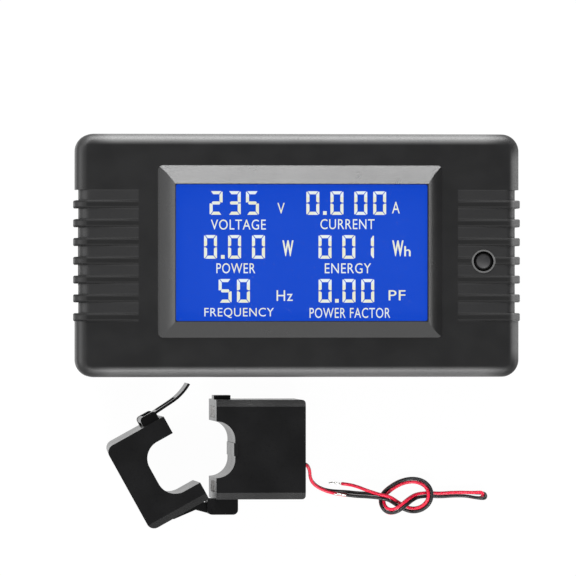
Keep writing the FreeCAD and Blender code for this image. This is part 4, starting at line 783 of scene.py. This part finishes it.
# %% Board and components
def circuit_board():
    """Green lacquer over tracks on a 1.27 mm grid, with tinned rings round holes that are painted near black
    as shade.
    """
    f = Finish("board_green", Specular_IOR_Level=0.5)
    x, y, z = f.axes()
    pitch = 1.27 * MM
    patch = f.noise(140, 0.0)
    along_x = f.stripe(y, pitch, 0.42) * f.step(patch, 0.49, 0.50)
    along_y = f.stripe(x, pitch, 0.42) * f.step(patch, 0.50, 0.49)
    track = along_x + along_y
    out_x = abs((x / (3 * pitch)) % 1.0 - 0.5) * (3 * pitch)
    out_y = abs((y / (3 * pitch)) % 1.0 - 0.5) * (3 * pitch)
    away = (out_x * out_x + out_y * out_y) ** 0.5
    ring = f.step(away, 0.62 * MM, 0.55 * MM) * f.step(f.noise(210, 0.0), 0.52, 0.53)
    # Painted shade: the holes are coloured near black.
    hole = f.step(away, 0.32 * MM, 0.28 * MM) * ring
    mask = f.blend(track, (0.012, 0.10, 0.035), (0.035, 0.22, 0.07))
    tint = f.blend(ring, mask, (0.62, 0.62, 0.58))
    return f.dress(
        Base_Color=f.blend(hole, tint, (0.01, 0.01, 0.01)),
        Metallic=ring * 0.9,
        Roughness=0.28 + ring * 0.1 + f.noise(1800, 2.0) * 0.12,
        Normal=f.bump(track * 0.6 + ring - hole, 0.035 * MM),
    )


def chip(name, node, body_half):
    """A moulded package with tinned legs beyond its long sides and a dimple at one corner."""
    f = Finish(name, Specular_IOR_Level=0.4)
    x, y, z = f.axes()
    low, high = (np.array(corner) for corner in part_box(node))
    middle = (low + high) / 2
    leg = abs(y - float(middle[1])) > body_half
    from_x = x - float(low[0] + 0.9 * MM)
    from_y = y - float(middle[1] - body_half + 0.9 * MM)
    dimple = f.step((from_x * from_x + from_y * from_y) ** 0.5, 0.42 * MM, 0.34 * MM)
    fine = f.noise(3800, 3.0)
    tint = f.blend(f.step(f.noise(600, 2.0), 0.3, 0.7), (0.014, 0.014, 0.015), (0.022, 0.022, 0.023))
    return f.dress(
        Base_Color=f.blend(leg, tint, (0.66, 0.66, 0.64)),
        Metallic=leg * 0.95,
        Roughness=0.5 - leg * 0.22 + fine * 0.1 - dimple * 0.2,
        Normal=f.bump(fine * 0.08 - dimple, 0.08 * MM),
    )


def small_parts():
    """Tiny resistors: a black glassy middle between two tinned ends, set by their place in the row."""
    f = Finish("small_resistors", Specular_IOR_Level=0.5)
    x, y, z = f.axes()
    low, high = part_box("small_resistors")
    column = x > high[0] - 1.4 * MM
    first = low[0] + 1.0 * MM
    along_row = abs((((x - first) / (3.2 * MM)) + 0.5) % 1.0 - 0.5) * 3.2
    along_column = abs((((y - (high[1] - 1.0 * MM)) / (2.6 * MM)) + 0.5) % 1.0 - 0.5) * 2.6
    end = along_row * (1.0 - column) + along_column * column > 0.66
    fine = f.noise(4200, 2.0)
    return f.dress(
        Base_Color=f.blend(end, (0.012, 0.012, 0.014), (0.68, 0.68, 0.66)),
        Metallic=end * 0.95,
        Roughness=0.22 + end * 0.1 + fine * 0.12,
        Normal=f.bump(fine + end, 0.01 * MM),
    )


def sleeved_can():
    """A shrunk dark sleeve with a pale stripe down one side, and the can's bare scored end."""
    f = Finish("can_sleeve", Specular_IOR_Level=0.5)
    x, y, z = f.axes()
    low, high = (np.array(corner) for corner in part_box("electrolytic_capacitor"))
    middle = (low + high) / 2
    out_x, out_y = x - float(middle[0]), y - float(middle[1])
    away = (out_x * out_x + out_y * out_y) ** 0.5
    bare = (z < float(low[2]) + 0.1 * MM) * (away < 3.3 * MM)
    stripe = out_x > 3.3 * MM
    cross = f.stripe(out_x, 12 * MM, 0.03) + f.stripe(out_y, 12 * MM, 0.03)
    wrinkle = f.noise(500, 2.0, f.stretched(1, 1, 0.2))
    sleeve = f.blend(stripe, (0.012, 0.014, 0.035), (0.55, 0.56, 0.6))
    return f.dress(
        Base_Color=f.blend(bare, sleeve, (0.70, 0.71, 0.72)),
        Metallic=bare * 0.95,
        Roughness=0.24 + wrinkle * 0.16,
        Normal=f.bump(wrinkle * 0.3 - cross * bare, 0.06 * MM),
    )


def ringed_resistor():
    """A flameproof film resistor: matt green coat with four colour rings along its length."""
    f = Finish("resistor_green", Specular_IOR_Level=0.35)
    x, y, z = f.axes()
    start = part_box("fuse_resistor")[0][0]
    tint = f.blend(f.noise(900, 2.0), (0.06, 0.15, 0.10), (0.09, 0.21, 0.14))
    for place, ring in (
        (2.0, (0.16, 0.05, 0.02)),
        (3.4, (0.01, 0.01, 0.01)),
        (4.8, (0.01, 0.01, 0.01)),
        (7.0, (0.62, 0.40, 0.05)),
    ):
        on = (abs(x - (start + place * MM)) < 0.33 * MM) * 1.0
        tint = f.blend(on, tint, ring)
    coat = f.noise(1500, 3.0)
    return f.dress(Base_Color=tint, Roughness=0.45 + coat * 0.2, Normal=f.bump(coat, 0.03 * MM))


def drum_core():
    """A ferrite drum under a heat-shrunk sleeve, with the wire's turns showing through."""
    f = Finish("ferrite_grey", Specular_IOR_Level=0.5)
    x, y, z = f.axes()
    low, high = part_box("inductor")
    sleeve = (z > low[2] + 0.9 * MM) * (z < high[2] - 0.9 * MM)
    turns = f.stripe(z, 0.32 * MM, 0.6) * sleeve
    speck = f.noise(2600, 3.0)
    tint = f.blend(sleeve, f.blend(speck, (0.045, 0.045, 0.05), (0.09, 0.09, 0.095)), (0.015, 0.015, 0.02))
    return f.dress(
        Base_Color=tint,
        Roughness=0.6 - sleeve * 0.35 + speck * 0.1,
        Normal=f.bump(turns * 0.7 + speck * 0.15, 0.06 * MM),
    )


def back_light():
    """The light guide: an even blue glow with a fine, even dot pattern."""
    f = Finish("backlight_blue", Specular_IOR_Level=0.3, Emission_Strength=0.6)
    x, y, z = f.axes()
    dots = f.stripe(x, 0.5 * MM, 0.55) * f.stripe(y, 0.5 * MM, 0.55)
    return f.dress(
        Base_Color=f.blend(dots, (0.30, 0.36, 0.5), (0.6, 0.65, 0.75)),
        Emission_Color=f.blend(dots, (0.0, 0.03, 0.30), (0.01, 0.08, 0.62)),
        Roughness=0.35 + dots * 0.2,
    )


finishes["board_green"] = circuit_board()
finishes["can_sleeve"] = sleeved_can()
finishes["resistor_green"] = ringed_resistor()
finishes["ferrite_grey"] = drum_core()
finishes["backlight_blue"] = back_light()
finishes["chip_black"] = chip("chip_black", "metering_chip", 3.75 * MM)
own = {
    "controller_chip": chip("controller_chip", "controller_chip", 2.75 * MM),
    "memory_chip": chip("memory_chip", "memory_chip", 2.0 * MM),
    "bridge_rectifier": moulded("bridge_rectifier", (0.016, 0.016, 0.017), 0.5, 3800, 0.01, 0.2, 0.4),
    "small_resistors": small_parts(),
}

# %% [markdown]
# The leads' insulation is soft vinyl drawn through a die. It has a faint fine grain, a waxy gloss,
# and duller, paler patches here and there.

# %% Lead insulation
def insulation(name, colour, deep):
    """Drawn vinyl: cloudy colour, a fine grain and handling marks."""
    f = Finish(name, Specular_IOR_Level=0.32)
    cloud = f.step(f.noise(520, 2.0), 0.3, 0.7)
    streak = f.noise(5200, 2.0)
    scuff = f.step(f.noise(1300, 3.0), 0.58, 0.72)
    tint = f.blend(cloud, deep, colour)
    tint = f.blend(scuff * 0.35, tint, tuple(c * 0.6 + 0.03 for c in colour))
    return f.dress(
        Base_Color=tint,
        Roughness=0.32 + scuff * 0.2 + streak * 0.08,
        Normal=f.bump(streak, 0.004 * MM),
    )


finishes["lead_red"] = insulation("lead_red", (0.64, 0.011, 0.044), (0.52, 0.008, 0.032))
finishes["lead_black"] = insulation("lead_black", (0.012, 0.012, 0.013), (0.006, 0.006, 0.007))

# %% Dress every node and piece
for part in frame["record"]["subparts"]:
    solid = nodes[part["node"]]
    finish = own.get(part["node"], finishes[part["material_slot"]])
    solid.data.materials.clear()
    solid.data.materials.append(finish.material)
for piece, finish in (
    (leads["red"], "lead_red"),
    (leads["black"], "lead_black"),
    (tips["red"], "tinned"),
    (tips["black"], "tinned"),
    (digits, "lcd_print"),
    (lettered, "lcd_print"),
    (numbered, "terminal_black"),
):
    piece.data.materials.append(finishes[finish].material)

# %% [markdown]
# The pieces lie on a white table. The camera sees the table as plain white, with only a hint of the
# object's shadow, so the floor's material mixes light of its own with an ordinary white surface.

# %% Floor and background
floor_mesh = bpy.data.meshes.new("floor")
FLOOR_HALF = 3.0
FLOOR_Z = -0.2 * MM
floor_mesh.from_pydata(
    [(x * FLOOR_HALF, y * FLOOR_HALF, FLOOR_Z) for x, y in ((-1, -1), (1, -1), (1, 1), (-1, 1))],
    [],
    [(0, 1, 2, 3)],
)
floor = bpy.data.objects.new("floor", floor_mesh)
bpy.context.scene.collection.objects.link(floor)


def seen_share(tree, weights, target):
    """Adds up how much each kind of ray counts as looking at the backdrop, at most one."""
    paths = tree.nodes.new("ShaderNodeLightPath")
    total = None
    for kind, weight in weights:
        part = tree.nodes.new("ShaderNodeMath")
        part.operation = "MULTIPLY_ADD"
        part.use_clamp = True
        part.inputs[1].default_value = weight
        part.inputs[2].default_value = 0.0
        tree.links.new(paths.outputs[kind], part.inputs[0])
        if total:
            tree.links.new(total, part.inputs[2])
        total = part.outputs[0]
    tree.links.new(total, target)


PLAIN_LEVEL = 0.30
world = bpy.data.worlds.new("studio")
bpy.context.scene.world = world
world.use_nodes = True
background = world.node_tree.nodes["Background"]
background.inputs["Color"].default_value = (1, 1, 1, 1)
level = world.node_tree.nodes.new("ShaderNodeMix")
level.inputs[2].default_value = PLAIN_LEVEL
level.inputs[3].default_value = 1.0
world.node_tree.links.new(level.outputs[0], background.inputs["Strength"])
SKY_GLOW = [("Is Camera Ray", 1.0), ("Is Glossy Ray", 0.07), ("Is Transmission Ray", 1.0)]
seen_share(world.node_tree, SKY_GLOW, level.inputs[0])

FLOOR_GLOW = [("Is Camera Ray", 0.98), ("Is Glossy Ray", 0.90), ("Is Transmission Ray", 0.98)]
table = bpy.data.materials.new("white_table")
table.use_nodes = True
tree = table.node_tree
shaded = tree.nodes["Principled BSDF"]
shaded.inputs["Base Color"].default_value = (0.80, 0.80, 0.80, 1)
shaded.inputs["Roughness"].default_value = 0.6
shaded.inputs["Specular IOR Level"].default_value = 0.0
glow = tree.nodes.new("ShaderNodeEmission")
mixed = tree.nodes.new("ShaderNodeMixShader")
seen_share(tree, FLOOR_GLOW, mixed.inputs[0])
tree.links.new(shaded.outputs[0], mixed.inputs[1])
tree.links.new(glow.outputs[0], mixed.inputs[2])
tree.links.new(mixed.outputs[0], tree.nodes["Material Output"].inputs["Surface"])
floor_mesh.materials.append(table)

# %% [markdown]
# Black plastic shows its shape mostly by what it mirrors. So eight soft lights stand round the set:
# behind, a bright box that the bezel's upper slope mirrors and a low strip for the rounded edge; in
# front, a wide weak panel and a bright box higher up; two strips on the left, a low one on the
# right, and a box behind on the left for the jaw's pale band. Straight above it stays dim, and so
# the front face stays black. Each is given by the direction and the height in degrees where it
# stands, its size in metres and how bright its face is.

# %% Lights
LIGHT_AWAY = 1.2
LIGHTS = [
    ("back_box", 90, 26, (0.55, 0.30), 36.0),
    ("back_strip", 90, 5, (1.2, 0.2), 30.0),
    ("front_panel", -90, 27, (1.8, 0.5), 2.8),
    ("front_box", -90, 52, (0.55, 0.22), 34.0),
    ("left_strip", 180, 15, (1.2, 0.5), 6.0),
    ("left_upper", 180, 40, (1.0, 0.5), 2.8),
    ("right_strip", 0, 4, (1.2, 0.16), 8.0),
    ("jaw_box", 120, 38, (0.34, 0.30), 30.0),
]
for name, round_degrees, up_degrees, size, radiance in LIGHTS:
    lamp = bpy.data.lights.new(name, "AREA")
    lamp.shape = "RECTANGLE"
    lamp.size, lamp.size_y = size
    lamp.energy = radiance * math.pi * size[0] * size[1]
    holder = bpy.data.objects.new(name, lamp)
    turn, lift = math.radians(round_degrees), math.radians(up_degrees)
    level_away = LIGHT_AWAY * math.cos(lift)
    holder.location = (level_away * math.cos(turn), level_away * math.sin(turn), LIGHT_AWAY * math.sin(lift))
    holder.rotation_euler = (math.pi / 2 - lift, 0, turn + math.pi / 2)
    bpy.context.scene.collection.objects.link(holder)
    print(name, "%.1f W" % lamp.energy)

bpy.context.scene.view_settings.view_transform = "Standard"
